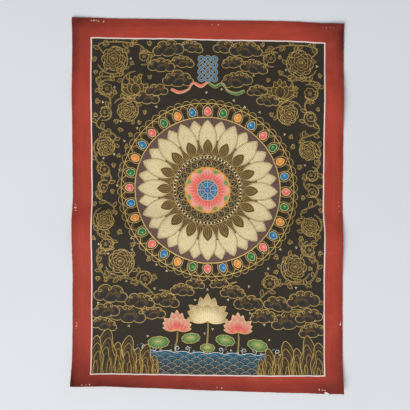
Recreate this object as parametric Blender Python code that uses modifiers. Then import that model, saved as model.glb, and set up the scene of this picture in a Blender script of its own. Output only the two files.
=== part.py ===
"""An unmounted thangka canvas, lying face up on a flat surface.

The whole object is one sheet of sized and painted cotton, cut a little out of square. It was kept rolled, so
two low swells run across it, its lower edge curls up, most at the left corner, and its other corners lift a
little. Between them the cloth lies flat. One lacing hole has torn out through the lower edge.

Metres, +Z up. +X runs to the picture's right and +Y to its top. The origin is in the middle of the sheet's
outline, on the surface that the sheet lies on.
"""

from math import cos, hypot, pi, radians
from typing import NamedTuple

import bmesh
import bpy
from mathutils import Matrix, Vector

# The flat cloth
CLOTH_WIDTH = 0.550
CLOTH_LENGTH = 0.750
CLOTH_THICKNESS = 0.0012

# Rows and columns of faces, enough for the swells to look round
COLUMNS = 22
ROWS = 56

# The cut sheet's corners, seen from above
TOP_LEFT = Vector((-0.2757, 0.3809))
TOP_RIGHT = Vector((0.2757, 0.3674))
BOTTOM_LEFT = Vector((-0.2757, -0.3633))
BOTTOM_RIGHT = Vector((0.2741, -0.3807))


class EdgeBow(NamedTuple):
    """How far a cut edge stands outside the straight line between its corners."""

    share: float  # of the edge, from its left or lower end
    outward: float


LEFT_EDGE = (
    EdgeBow(0.00, 0.0000),
    EdgeBow(0.08, -0.0010),
    EdgeBow(0.25, -0.0010),
    EdgeBow(0.42, -0.0006),
    EdgeBow(0.51, -0.0014),
    EdgeBow(0.65, -0.0005),
    EdgeBow(0.80, 0.0000),
    EdgeBow(0.93, -0.0006),
    EdgeBow(1.00, 0.0000),
)
RIGHT_EDGE = (
    EdgeBow(0.00, 0.0000),
    EdgeBow(0.08, -0.0010),
    EdgeBow(0.25, -0.0013),
    EdgeBow(0.43, -0.0011),
    EdgeBow(0.51, -0.0018),
    EdgeBow(0.67, -0.0006),
    EdgeBow(0.90, -0.0003),
    EdgeBow(1.00, 0.0000),
)
BOTTOM_EDGE = (
    EdgeBow(0.00, 0.0000),
    EdgeBow(0.12, -0.0006),
    EdgeBow(0.29, 0.0007),
    EdgeBow(0.50, 0.0022),
    EdgeBow(0.73, 0.0028),
    EdgeBow(0.90, 0.0018),
    EdgeBow(1.00, 0.0000),
)
TOP_EDGE = (
    EdgeBow(0.00, 0.0000),
    EdgeBow(0.18, 0.0003),
    EdgeBow(0.40, 0.0017),
    EdgeBow(0.50, 0.0013),
    EdgeBow(0.80, 0.0030),
    EdgeBow(0.95, 0.0004),
    EdgeBow(1.00, 0.0000),
)


class Swell(NamedTuple):
    """A low rise that runs from one side edge to the other."""

    crest: float  # its place up the cloth, on the middle line
    above: float  # reach from the crest towards the top
    below: float  # reach from the crest towards the bottom
    left: float  # heights at the left edge, the middle and the right edge
    middle: float
    right: float


SWELL_SLOPE = -0.018  # rise of a crest's place for each metre to the right
SWELLS = (
    Swell(crest=0.226, above=0.088, below=0.078, left=0.0045, middle=0.0030, right=0.0070),
    Swell(crest=-0.058, above=0.060, below=0.098, left=0.0100, middle=0.0045, right=0.0060),
)


class CurlHeight(NamedTuple):
    """How high the lower edge curls up at one place along it."""

    across: float  # from the middle line
    height: float


CURL_REACH = 0.105  # from the lower edge up to where the cloth lies flat
LOWER_CURL = (
    CurlHeight(-0.275, 0.0140),
    CurlHeight(-0.180, 0.0110),
    CurlHeight(-0.060, 0.0078),
    CurlHeight(0.080, 0.0046),
    CurlHeight(0.185, 0.0050),
    CurlHeight(0.275, 0.0080),
)


class CornerCurl(NamedTuple):
    """A corner that lifts further than the edges beside it."""

    across: float  # -1 for a left corner and 1 for a right one
    up: float  # -1 for a bottom corner and 1 for a top one
    reach: float
    height: float


CORNER_CURLS = (
    CornerCurl(across=-1, up=-1, reach=0.120, height=0.0085),
    CornerCurl(across=1, up=-1, reach=0.095, height=0.0040),
    CornerCurl(across=-1, up=1, reach=0.105, height=0.0030),
    CornerCurl(across=1, up=1, reach=0.110, height=0.0042),
)

# The torn lacing hole: an oval cut that is open to the lower edge
NICK_ACROSS = 0.2400
NICK_EDGE = -0.3812
NICK_LENGTH = 0.0116
NICK_WIDTH = 0.0066
NICK_TURN = radians(-38)
NICK_SIDES = 14
NICK_CUT_DEPTH = 0.060

CLOTH_RED = (0.310, 0.052, 0.036, 1.0)
CLOTH_ROUGHNESS = 0.62


def smooth(share):
    """The soft step from 0 to 1."""
    share = min(max(share, 0.0), 1.0)
    return share * share * (3.0 - 2.0 * share)


def read_table(rows, place):
    """The value of a table at a place, eased between its rows. A row is (place, value)."""
    if place <= rows[0][0]:
        return rows[0][1]
    for low, high in zip(rows, rows[1:]):
        if place <= high[0]:
            ease = smooth((place - low[0]) / (high[0] - low[0]))
            return low[1] + (high[1] - low[1]) * ease
    return rows[-1][1]


def outline_point(across, up):
    """Where a point of the flat cloth lies, seen from above."""
    right = across / CLOTH_WIDTH + 0.5
    top = up / CLOTH_LENGTH + 0.5
    lower = BOTTOM_LEFT.lerp(BOTTOM_RIGHT, right)
    upper = TOP_LEFT.lerp(TOP_RIGHT, right)
    point = lower.lerp(upper, top)
    point.x += right * read_table(RIGHT_EDGE, top) - (1.0 - right) * read_table(LEFT_EDGE, top)
    point.y += top * read_table(TOP_EDGE, right) - (1.0 - top) * read_table(BOTTOM_EDGE, right)
    return point


def swell_lift(swell, across, up):
    """Height of one swell over the surface."""
    side = across / (CLOTH_WIDTH / 2)
    outer = swell.left if side < 0 else swell.right
    height = swell.middle + (outer - swell.middle) * smooth(abs(side))
    away = up - (swell.crest + SWELL_SLOPE * across)
    share = away / (swell.above if away > 0 else swell.below)
    if abs(share) >= 1.0:
        return 0.0
    return height * 0.5 * (1.0 + cos(pi * share))


def lower_curl_lift(across, up):
    """Height that the lower edge's curl gives to a point."""
    share = 1.0 - (up + CLOTH_LENGTH / 2) / CURL_REACH
    return read_table(LOWER_CURL, across) * max(share, 0.0) ** 2


def corner_lift(corner, across, up):
    """Height that one corner's own curl gives to a point."""
    away = hypot(across - corner.across * CLOTH_WIDTH / 2, up - corner.up * CLOTH_LENGTH / 2)
    return corner.height * max(1.0 - away / corner.reach, 0.0) ** 2


def cloth_lift(across, up):
    """Height of the cloth's underside over the surface. It is zero where the cloth lies flat."""
    swells = sum(swell_lift(swell, across, up) for swell in SWELLS)
    corners = sum(corner_lift(corner, across, up) for corner in CORNER_CURLS)
    return swells + corners + lower_curl_lift(across, up)


def make_material(name, colour, roughness):
    """A plain painted-cloth material."""
    material = bpy.data.materials.new(name)
    material.use_nodes = True
    shader = material.node_tree.nodes["Principled BSDF"]
    shader.inputs["Base Color"].default_value = colour
    shader.inputs["Roughness"].default_value = roughness
    shader.inputs["Metallic"].default_value = 0.0
    material.diffuse_color = colour
    return material


def make_collection(name):
    """A new collection in the scene."""
    collection = bpy.data.collections.new(name)
    bpy.context.scene.collection.children.link(collection)
    return collection


def make_canvas(collection):
    """The sheet of cloth: a flat grid laid into its outline and folds, then given its thickness."""
    grid = bmesh.new()
    bmesh.ops.create_grid(grid, x_segments=COLUMNS, y_segments=ROWS, size=0.5)
    for vertex in grid.verts:
        across = vertex.co.x * CLOTH_WIDTH
        up = vertex.co.y * CLOTH_LENGTH
        vertex.co = (*outline_point(across, up), cloth_lift(across, up))
    mesh = bpy.data.meshes.new("canvas")
    grid.to_mesh(mesh)
    grid.free()

    mesh.shade_smooth()
    mesh.materials.append(make_material("painted_canvas", CLOTH_RED, CLOTH_ROUGHNESS))
    canvas = bpy.data.objects.new("canvas", mesh)
    collection.objects.link(canvas)

    thickness = canvas.modifiers.new("thickness", "SOLIDIFY")
    thickness.thickness = CLOTH_THICKNESS
    thickness.offset = 1.0
    return canvas


def cut_nick(canvas, cutters):
    """Cuts the torn lacing hole out of the lower edge."""
    oval = bmesh.new()
    bmesh.ops.create_cone(
        oval, cap_ends=True, segments=NICK_SIDES, radius1=0.5, radius2=0.5, depth=NICK_CUT_DEPTH
    )
    bmesh.ops.transform(oval, matrix=Matrix.Diagonal((NICK_LENGTH, NICK_WIDTH, 1.0, 1.0)), verts=oval.verts)
    mesh = bpy.data.meshes.new("nick")
    oval.to_mesh(mesh)
    oval.free()

    cutter = bpy.data.objects.new("nick", mesh)
    cutter.location = (NICK_ACROSS, NICK_EDGE, 0.0)
    cutter.rotation_euler.z = NICK_TURN
    cutter.hide_render = True
    cutter.display_type = "WIRE"
    cutters.objects.link(cutter)

    cut = canvas.modifiers.new("nick", "BOOLEAN")
    cut.operation = "DIFFERENCE"
    cut.solver = "EXACT"
    cut.object = cutter


def main():
    """Clears the scene and builds the canvas."""
    for old in list(bpy.data.objects):
        bpy.data.objects.remove(old, do_unlink=True)
    parts = make_collection("thangka_canvas")
    cutters = make_collection("cutters")
    canvas = make_canvas(parts)
    cut_nick(canvas, cutters)


main()
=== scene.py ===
"""The looks of an unmounted thangka canvas: a sheet of sized cotton, painted in mineral colours and gold.

The sheet has the outline and folds of the CAD model, with a finer surface. Its face has a plain red border,
a pale line and a dark panel. The panel carries an ornament of a lotus medallion, vine scrolls, an endless
knot, clouds and a pond.

The cloth and the studio are in metres. What is painted is drawn flat first, in millimetres on the flat
cloth, with +x to the picture's right and +y to its top, and is then laid on the folded cloth.
"""

from __future__ import annotations

import logging
from dataclasses import dataclass, field, replace
from enum import Enum
from typing import Callable, NamedTuple, Sequence

import bmesh
import bpy
import numpy as np
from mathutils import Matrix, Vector
from mathutils.geometry import delaunay_2d_cdt

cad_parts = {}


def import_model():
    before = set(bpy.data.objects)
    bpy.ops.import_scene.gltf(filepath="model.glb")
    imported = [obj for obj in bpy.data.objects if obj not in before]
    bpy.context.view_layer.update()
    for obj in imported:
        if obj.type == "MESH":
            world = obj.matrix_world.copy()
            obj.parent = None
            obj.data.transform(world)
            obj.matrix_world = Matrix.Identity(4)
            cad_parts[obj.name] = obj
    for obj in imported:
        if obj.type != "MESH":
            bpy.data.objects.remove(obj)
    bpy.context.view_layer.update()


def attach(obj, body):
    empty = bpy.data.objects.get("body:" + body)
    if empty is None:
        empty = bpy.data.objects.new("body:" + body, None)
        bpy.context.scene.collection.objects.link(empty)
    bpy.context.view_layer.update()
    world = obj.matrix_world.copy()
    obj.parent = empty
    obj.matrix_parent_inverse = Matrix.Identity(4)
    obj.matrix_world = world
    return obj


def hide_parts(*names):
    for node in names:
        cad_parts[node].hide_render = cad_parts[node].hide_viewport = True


LOG = logging.getLogger("thangka")

Points = np.ndarray  # one row for each point
Colour = tuple[float, float, float, float]
Table = tuple[tuple[float, float], ...]  # rows of two numbers, such as a place and a value
Tone = Callable[[Points], np.ndarray]  # gives the share of a finish's second colour at each point
Tree, Socket, Sockets = bpy.types.NodeTree, bpy.types.NodeSocket, bpy.types.bpy_prop_collection
Mesh, Piece = bpy.types.Mesh, bpy.types.Object

MILLIMETRE = 0.001
SEED = 11
BAKE_UV = "OFBake"
MIRROR = (-1.0, 1.0)
ORIGIN = np.zeros(2)
SIDES = (-1, 1)  # the picture's left and its right


# --- Lines on the flat cloth ---


def smooth(share: np.ndarray) -> np.ndarray:
    """The soft step from 0 to 1."""
    share = np.clip(share, 0.0, 1.0)
    return share * share * (3.0 - 2.0 * share)


def read_table(rows: Table, place: np.ndarray) -> np.ndarray:
    """Reads a table at many places, eased between its rows.

    Args:
        rows: The table, in order of place.
        place: Where to read it. Past its ends the end values hold.

    Returns:
        The value at each place.
    """
    place = np.asarray(place, float)
    value = np.full(place.shape, rows[0][1])
    for (low, before), (high, after) in zip(rows, rows[1:]):
        eased = before + (after - before) * smooth((place - low) / (high - low))
        value = np.where(place >= low, eased, value)
    return value


def polar(radius: np.ndarray | float, angle: np.ndarray | float) -> Points:
    """Points at a distance from the origin and an angle from +x, in radians."""
    return np.column_stack([radius * np.cos(angle), radius * np.sin(angle)])


def circle(radius: float, samples: int = 48) -> Points:
    """A closed circle round the origin."""
    return radius * polar(1.0, np.linspace(0.0, 2 * np.pi, samples, endpoint=False))


def spoke(near: float, far: float, angle: float) -> Points:
    """A straight line away from the origin, at an angle in radians."""
    return polar(np.array((near, far)), angle)


def turns(count: int, offset: float = 0.0) -> list[float]:
    """The angles, in degrees, of things spaced evenly round a circle. The offset is in shares of a space."""
    return [360.0 * (index + offset) / count for index in range(count)]


def closed(points: Points) -> Points:
    """A closed outline as a line that ends where it starts."""
    return np.vstack([points, points[:1]])


def between(first: Points, second: Points) -> Points:
    """The outline of the strip between two lines that run side by side."""
    return np.vstack([first, second[::-1]])


def doubled(left: Points) -> Points:
    """An outline made of its left side and that side's mirror image, joined at the tip."""
    return np.vstack([left, (left * MIRROR)[-2::-1]])


def petal_side(plump: float, samples: int = 18) -> Points:
    """The left side of a pointed petal, from its base at the origin to its tip at (0, 1)."""
    handles = (-1.75 * plump, 0.42), (-0.75 * plump, 0.86)
    return bezier((-0.08 * plump, 0.0), *handles, (0.0, 1.0), samples=samples)


def beside(along: Points) -> Points:
    """Unit steps to the left of a line, from its steps along."""
    return np.column_stack([-along[:, 1], along[:, 0]]) / np.linalg.norm(along, axis=1)[:, None]


def distance_to(points: Points, line: Points) -> np.ndarray:
    """How far each point is from the nearest point of a line."""
    return np.sqrt(((points[:, None, :] - line[None, :, :]) ** 2).sum(axis=2)).min(axis=1)


def fading(middle: Points, reach: float, most: float) -> Tone:
    """A tone that falls from its most in the middle by one for each reach. A negative reach makes it rise."""
    return lambda points: most - np.hypot(*(points - middle).T) / reach


def even(share: float) -> Tone:
    """A tone that is the same everywhere."""
    return lambda points: np.full(len(points), share)


def resample(points: Points, step: float) -> Points:
    """Spaces a line's points evenly.

    Args:
        points: The line.
        step: The rough distance wanted between points.

    Returns:
        The same line with even steps, ends kept.
    """
    reach = np.append(0.0, np.cumsum(np.hypot(*np.diff(points, axis=0).T)))
    places = np.linspace(0.0, reach[-1], max(int(round(reach[-1] / step)), 2) + 1)
    return np.column_stack([np.interp(places, reach, points[:, axis]) for axis in (0, 1)])


def bezier(*corners: Sequence[float], samples: int = 16) -> Points:
    """A cubic curve.

    Args:
        *corners: Its first point, the handles of its two ends, and its last point.
        samples: How many points it has.

    Returns:
        The curve's points.
    """
    t = np.linspace(0.0, 1.0, samples)[:, None]
    weights = ((1 - t) ** 3, 3 * t * (1 - t) ** 2, 3 * t**2 * (1 - t), t**3)
    return sum(weight * np.asarray(corner, float) for weight, corner in zip(weights, corners))


def curve_through(knots: Sequence[tuple[float, float]], samples: int = 12) -> Points:
    """A smooth line through a few given points.

    Args:
        knots: The points.
        samples: How many steps it takes from one point to the next.

    Returns:
        The line's points.
    """
    knots = np.asarray(knots, float)
    ends = np.vstack([2 * knots[0] - knots[1], knots, 2 * knots[-1] - knots[-2]])
    t = np.linspace(0.0, 1.0, samples, endpoint=False)[:, None]
    spans = []
    for before, low, high, after in zip(ends, ends[1:], ends[2:], ends[3:]):
        bend = 2 * before - 5 * low + 4 * high - after
        twist = 3 * low - before - 3 * high + after
        spans.append(low + 0.5 * ((high - before) * t + bend * t**2 + twist * t**3))
    return np.vstack([*spans, knots[-1:]])


def arch(start: Sequence[float], end: Sequence[float], rise: float, samples: int = 14) -> Points:
    """A round lobe from one point to another, on the left of the way there.

    Args:
        start: Where it starts.
        end: Where it ends.
        rise: Its height, as a share of the distance.
        samples: How many points it has.

    Returns:
        The lobe's points.
    """
    start, end = np.asarray(start, float), np.asarray(end, float)
    chord = end - start
    aside = np.array((-chord[1], chord[0])) * rise
    turn = np.linspace(0.0, np.pi, samples)[:, None]
    return start + chord * (1 - np.cos(turn)) / 2 + aside * np.sin(turn)


def tendril(length: float, sweep: float, ease: float, start: float = 90.0, samples: int = 36) -> Points:
    """A curl that starts at the origin and bends more and more.

    Args:
        length: Its length along the line.
        sweep: The degrees that it turns in all, positive to the left.
        ease: How late it bends. At 1 it is part of a circle.
        start: The angle at which it leaves, in degrees from +x.
        samples: How many points it has.

    Returns:
        The curl's points.
    """
    heading = np.radians(start + sweep * np.linspace(0.0, 1.0, samples) ** ease)
    steps = polar(1.0, heading) * length / (samples - 1)
    return np.vstack([[0.0, 0.0], np.cumsum(steps[:-1], axis=0)])


def lobed_ring(lobes: int, radius: float, depth: float, roundness: float = 0.6, turn: float = 0.0) -> Points:
    """A closed outline with round lobes, such as a rosette's.

    Args:
        lobes: How many lobes it has.
        radius: Its outer radius.
        depth: How deep the notches between lobes are, as a share of the radius.
        roundness: Under 1 the lobes are full and the notches sharp.
        turn: Degrees that it is turned by.

    Returns:
        The outline, not repeating its first point.
    """
    angle = np.linspace(0.0, 2 * np.pi, lobes * 12, endpoint=False)
    lobe = np.abs(np.cos(lobes * angle / 2)) ** roundness
    return polar(radius * (1.0 - depth * (1.0 - lobe)), angle + np.radians(turn))


def inside(points: Points, outline: Points) -> np.ndarray:
    """Which points lie inside a closed outline.

    Args:
        points: The points to test.
        outline: The outline, not repeating its first point.

    Returns:
        True for each point inside.
    """
    x, y = points[:, :1], points[:, 1:2]
    x0, y0 = outline[:, 0], outline[:, 1]
    x1, y1 = np.roll(x0, -1), np.roll(y0, -1)
    spans = (y0 > y) != (y1 > y)
    with np.errstate(divide="ignore", invalid="ignore"):
        crossing = x0 + (y - y0) * (x1 - x0) / (y1 - y0)
    return (np.count_nonzero(spans & (x < crossing), axis=1) % 2).astype(bool)


def thinned(points: Points, bend: float = 0.13, reach: float = 3.4) -> np.ndarray:
    """Picks the points that a line needs to look smooth.

    Args:
        points: The line, in close steps.
        bend: How far it may turn between two points, in radians.
        reach: How far apart two points may be.

    Returns:
        The numbers of the points.
    """
    steps = np.diff(points, axis=0)
    turns = np.abs(np.diff(np.unwrap(np.arctan2(steps[:, 1], steps[:, 0]))))
    kept, turned, run = [0], 0.0, 0.0
    for index, (turn, length) in enumerate(zip(turns, np.hypot(*steps.T)), start=1):
        turned += turn
        run += length
        if turned > bend or run > reach:
            kept.append(index)
            turned, run = 0.0, 0.0
    return np.array([*kept, len(points) - 1])


@dataclass(frozen=True)
class Placing:
    """Where a motif goes on the flat cloth, in millimetres. Its own sizes are shares of `size`."""

    across: float = 0.0
    up: float = 0.0
    size: float = 1.0
    turn: float = 0.0  # degrees, anticlockwise
    flip: bool = False  # mirrored left to right, before it is turned

    def put(self, points: Points) -> Points:
        """Moves a motif's points to their place.

        Args:
            points: Points around the motif's own origin.

        Returns:
            The points on the cloth, in the same order.
        """
        cosine, sine = np.cos(np.radians(self.turn)), np.sin(np.radians(self.turn))
        faced = np.asarray(points) * (MIRROR if self.flip else (1.0, 1.0)) * self.size
        return faced @ np.array(((cosine, sine), (-sine, cosine))) + (self.across, self.up)

    def on(
        self, across: float, up: float, size: float = 1.0, turn: float = 0.0, flip: bool = False
    ) -> Placing:
        """A placing inside this one, for a part of the motif.

        Args:
            across: Its place in the motif's own shares.
            up: Its place in the motif's own shares.
            size: Its size as a share of this one.
            turn: Its turn in the motif, in degrees.
            flip: Whether it is mirrored in the motif.

        Returns:
            The part's placing on the cloth.
        """
        turned = self.turn + (-turn if self.flip else turn)
        return Placing(*self.put((across, up)), self.size * size, turned, self.flip != flip)

    def on_side(self, side: int) -> Placing:
        """This placing, or for side 1 its mirror image on the picture's right."""
        other = replace(self, across=-self.across, turn=-self.turn, flip=not self.flip)
        return self if side < 0 else other

    def settled(self, random: np.random.Generator, reach: float, growth: float, lean: float) -> Placing:
        """A placing a little off this one, as a hand would put it.

        Args:
            random: Where the differences are drawn from.
            reach: The most that it moves each way.
            growth: The most that it grows or shrinks, as a share.
            lean: The most that it turns, in degrees.

        Returns:
            The new placing.
        """
        across, up = random.uniform(-reach, reach, 2)
        size = self.size * random.uniform(1 - growth, 1 + growth)
        return Placing(self.across + across, self.up + up, size, random.uniform(-lean, lean))


def placings(*rows: tuple[float, ...]) -> tuple[Placing, ...]:
    """Placings from rows of their place across, place up, size and turn."""
    return tuple(Placing(*row) for row in rows)


# --- Objects and meshes ---


def add_object(name: str, data: bpy.types.ID) -> Piece:
    """Adds an object to the scene.

    Args:
        name: Its name.
        data: Its mesh, light or camera.

    Returns:
        The object.
    """
    made = bpy.data.objects.new(name, data)
    bpy.context.scene.collection.objects.link(made)
    return made


def make_mesh(name: str, corners: list[Points], edges: list[np.ndarray], faces: list[np.ndarray]) -> Mesh:
    """Makes a mesh of stacked parts.

    Args:
        name: Its name.
        corners: Each part's points.
        edges: Each part's loose edges.
        faces: Each part's faces.

    Returns:
        The mesh.
    """
    mesh = bpy.data.meshes.new(name)
    mesh.from_pydata(*(np.vstack(rows) if rows else [] for rows in (corners, edges, faces)))
    return mesh


def evaluated(thing: Piece) -> Mesh:
    """Takes what an object's modifiers make of it.

    Args:
        thing: The object. It is removed.

    Returns:
        The result as a plain mesh.
    """
    bpy.context.view_layer.update()
    made = bpy.data.meshes.new_from_object(thing.evaluated_get(bpy.context.evaluated_depsgraph_get()))
    bpy.data.objects.remove(thing, do_unlink=True)
    return made


def raised(points: Points, height: float) -> Points:
    """Flat points at one height over the cloth."""
    return np.column_stack([points, np.full(len(points), height)])


def set_values(mesh: Mesh, name: str, values: list[np.ndarray]) -> None:
    """Gives each point of a mesh a named value, from its parts' values."""
    mesh.attributes.new(name, "FLOAT", "POINT").data.foreach_set("value", np.concatenate(values))


# --- Node trees ---


NUMBER, COLOUR, GEOMETRY = "NodeSocketFloat", "NodeSocketColor", "NodeSocketGeometry"


class NodeBench:
    """Adds nodes to one tree and joins them."""

    def __init__(self, tree: Tree) -> None:
        """Takes the tree to work on."""
        self.tree = tree

    def feed(self, node: bpy.types.Node, inputs: dict[str, object]) -> None:
        """Fills a node's inputs.

        Args:
            node: The node.
            inputs: What goes in each input, by its identifier or name: a socket to join or a plain value.
        """
        for name, value in inputs.items():
            socket = next((s for s in node.inputs if s.identifier == name), None) or node.inputs[name]
            if isinstance(value, Socket):
                self.tree.links.new(value, socket)
            else:
                socket.default_value = value

    def add(self, kind: str, inputs: dict[str, object] | None = None, **settings: object) -> bpy.types.Node:
        """Adds a node.

        Args:
            kind: The node's type name.
            inputs: What goes in its inputs, as for `feed`.
            **settings: The node's own properties.

        Returns:
            The node.
        """
        node = self.tree.nodes.new(kind)
        for name, value in settings.items():
            setattr(node, name, value)
        self.feed(node, inputs or {})
        return node

    def math(self, operation: str, *values: Socket | float) -> Socket:
        """Adds a Math node."""
        inputs = dict(zip(("Value", "Value_001"), values))
        return self.add("ShaderNodeMath", inputs, operation=operation).outputs[0]

    def mix(self, share: Socket, first: Socket | Colour, second: Socket | Colour) -> Socket:
        """Mixes two colours. The share is of the second, and the third output is the colours'."""
        inputs = {"Factor_Float": share, "A_Color": first, "B_Color": second}
        return self.add("ShaderNodeMix", inputs, data_type="RGBA").outputs[2]

    def noise(self, vector: Socket, scale: float, detail: float) -> Socket:
        """Adds soft noise from 0 to 1. The scale counts its lumps in a metre."""
        return self.add("ShaderNodeTexNoise", {"Vector": vector, "Scale": scale, "Detail": detail}).outputs[0]

    def stretch(self, vector: Socket, scale: tuple[float, float, float]) -> Socket:
        """Scales coordinates by axis, so that a pattern is drawn out."""
        return self.add("ShaderNodeMapping", {"Vector": vector, "Scale": scale}).outputs[0]

    def step(self, value: Socket, low: float, high: float, to: tuple[float, float] = (0.0, 1.0)) -> Socket:
        """A soft step from one result to another, between two values."""
        inputs = {"Value": value, "From Min": low, "From Max": high, "To Min": to[0], "To Max": to[1]}
        return self.add("ShaderNodeMapRange", inputs, interpolation_type="SMOOTHSTEP").outputs[0]

    def place(self) -> Socket:
        """Where a point is on the object."""
        return self.add("ShaderNodeTexCoord").outputs["Object"]

    def axes(self, vector: Socket) -> Sockets:
        """The parts of a vector."""
        return self.add("ShaderNodeSeparateXYZ", {"Vector": vector}).outputs

    def lighten(self, colour: Socket | Colour, value: Socket) -> Socket:
        """Multiplies a colour's lightness."""
        return self.add("ShaderNodeHueSaturation", {"Color": colour, "Value": value}).outputs[0]

    def group(self, tree: Tree, inputs: dict[str, object] | None = None) -> Sockets:
        """Adds a shader group, and gives its outputs."""
        return self.add("ShaderNodeGroup", inputs, node_tree=tree).outputs


def new_tree(
    kind: str, name: str, inputs: dict[str, object], outputs: dict[str, str]
) -> tuple[NodeBench, Sockets]:
    """Starts a node tree.

    Args:
        kind: The tree's type name.
        name: Its name.
        inputs: Each input's name, with its starting value, or with its socket type if it has none.
        outputs: Each output's name, with its socket type.

    Returns:
        A bench on the tree, and the sockets that its inputs come in by.
    """
    tree = bpy.data.node_groups.new(name, kind)
    types = {float: NUMBER, tuple: COLOUR}
    for label, value in inputs.items():
        wanted = types.get(type(value), value)
        socket = tree.interface.new_socket(name=label, in_out="INPUT", socket_type=wanted)
        if wanted != value:
            socket.default_value = value
    for label, wanted in outputs.items():
        tree.interface.new_socket(name=label, in_out="OUTPUT", socket_type=wanted)
    bench = NodeBench(tree)
    return bench, bench.add("NodeGroupInput").outputs


@dataclass
class ShaderGroups:
    """The effects that several finishes share, each built once."""

    half_width: float = 0.275
    half_length: float = 0.375
    weave: Tree = field(init=False)
    body: Tree = field(init=False)
    darkening_and_shade: Tree = field(init=False)

    def __post_init__(self) -> None:
        """Builds the groups."""
        self.weave = self.build_weave()
        self.body = self.build_body()
        self.darkening_and_shade = self.build_darkening_and_shade()

    def build_weave(self) -> Tree:
        """Plain weave: threads that pass over and under each other.

        Returns:
            The group.
        """
        bench, given = new_tree("ShaderNodeTree", "plain_weave", {"Pitch": 0.0006}, {"Height": NUMBER})
        math, place = bench.math, bench.place()
        lumps = bench.add("ShaderNodeTexNoise", {"Vector": place, "Scale": 60.0, "Detail": 1.0})
        drift = {"Vector": lumps.outputs["Color"], "Scale": 0.0012}
        drift = bench.add("ShaderNodeVectorMath", drift, operation="SCALE").outputs[0]
        bent = {"Vector": place, "Vector_001": drift}
        bent = bench.add("ShaderNodeVectorMath", bent, operation="ADD").outputs[0]
        turns, axes = math("DIVIDE", np.pi, given["Pitch"]), bench.axes(bent)
        warp, weft = (math("SINE", math("MULTIPLY", axes[axis], turns)) for axis in (0, 1))
        over = bench.step(math("MULTIPLY", warp, weft), -0.15, 0.15)
        under = math("MULTIPLY", math("SUBTRACT", 1.0, over), math("ABSOLUTE", warp))
        height = math("ADD", under, math("MULTIPLY", over, math("ABSOLUTE", weft)))
        bench.add("NodeGroupOutput", {"Height": height})
        return bench.tree

    def build_body(self) -> Tree:
        """A brushed coat of glue paint, which shows the weave a little.

        Returns:
            The group.
        """
        inputs = dict.fromkeys(("Colour", "Second", "Third"), (0.5, 0.5, 0.5, 1.0))
        inputs |= {"Tone": 0.0, "Tint": 0.0, "Mottle": 0.2, "Roughness": 0.6}
        outputs = {"Colour": COLOUR, "Roughness": NUMBER, "Height": NUMBER}
        bench, given = new_tree("ShaderNodeTree", "paint_body", inputs, outputs)
        math, place = bench.math, bench.place()
        cloudy = bench.noise(place, 38.0, 3.0)
        grain = bench.noise(place, 1100.0, 2.0)
        stipple = bench.step(bench.noise(place, 760.0, 1.0), 0.3, 0.7, (0.55, 1.25))
        tone = math("MINIMUM", math("MULTIPLY", given["Tone"], stipple), 1.0)
        tinted = bench.mix(given["Tint"], given["Colour"], given["Third"])
        washed = bench.mix(tone, tinted, given["Second"])
        lumps = math("ADD", cloudy, math("MULTIPLY", grain, 0.5))
        lumps = math("MULTIPLY", math("SUBTRACT", lumps, 0.75), given["Mottle"])
        weave = math("MULTIPLY", bench.group(self.weave)["Height"], 0.6)
        made = {
            "Colour": bench.lighten(washed, math("ADD", lumps, 1.0)),
            "Roughness": math("ADD", given["Roughness"], math("MULTIPLY", lumps, 0.4)),
            "Height": math("ADD", weave, math("MULTIPLY", grain, 0.7)),
        }
        bench.add("NodeGroupOutput", made)
        return bench.tree

    def build_darkening_and_shade(self) -> Tree:
        """Darkening towards the sheet's sides, and painted shade at its corners and its curled lower left
        edge.

        Returns:
            The group.
        """
        inputs = {"Colour": (0.5, 0.5, 0.5, 1.0), "Dark": (0.1, 0.05, 0.03, 1.0)}
        inputs |= {"Sides": 0.1, "Corners": 0.3, "Foot": 0.2}
        bench, given = new_tree("ShaderNodeTree", "darkening_and_painted_shade", inputs, {"Colour": COLOUR})
        math, place = bench.math, bench.place()
        axes = bench.axes(place)
        aside = math("DIVIDE", math("ABSOLUTE", axes[0]), self.half_width)
        along = math("DIVIDE", math("ABSOLUTE", axes[1]), self.half_length)
        edge = bench.step(math("MAXIMUM", aside, along), 0.93, 1.0)
        # painted shade: the light falls off towards the corners, more towards the upper right, away from the
        # light
        corner = bench.step(math("ADD", aside, along), 1.5, 1.98)
        to_upper_right = math("ADD", math("ADD", axes[0], axes[1]), 0.95)
        corner = math("MULTIPLY", corner, to_upper_right)
        # painted shade: the curled lower edge, most at the left, faces away from the light
        low = bench.step(axes[1], -0.74 * self.half_length, -self.half_length)
        to_left = bench.step(axes[0], 0.8 * self.half_width, -self.half_width)
        darkening = math("MULTIPLY", edge, given["Sides"])
        darkening = math("ADD", darkening, math("MULTIPLY", corner, given["Corners"]))
        darkening = math("ADD", darkening, math("MULTIPLY", math("MULTIPLY", low, to_left), given["Foot"]))
        patchy = bench.step(bench.noise(place, 24.0, 3.0), 0.25, 0.75, (0.75, 1.2))
        darkened = bench.mix(math("MULTIPLY", darkening, patchy), given["Colour"], given["Dark"])
        bench.add("NodeGroupOutput", {"Colour": darkened})
        return bench.tree


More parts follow.
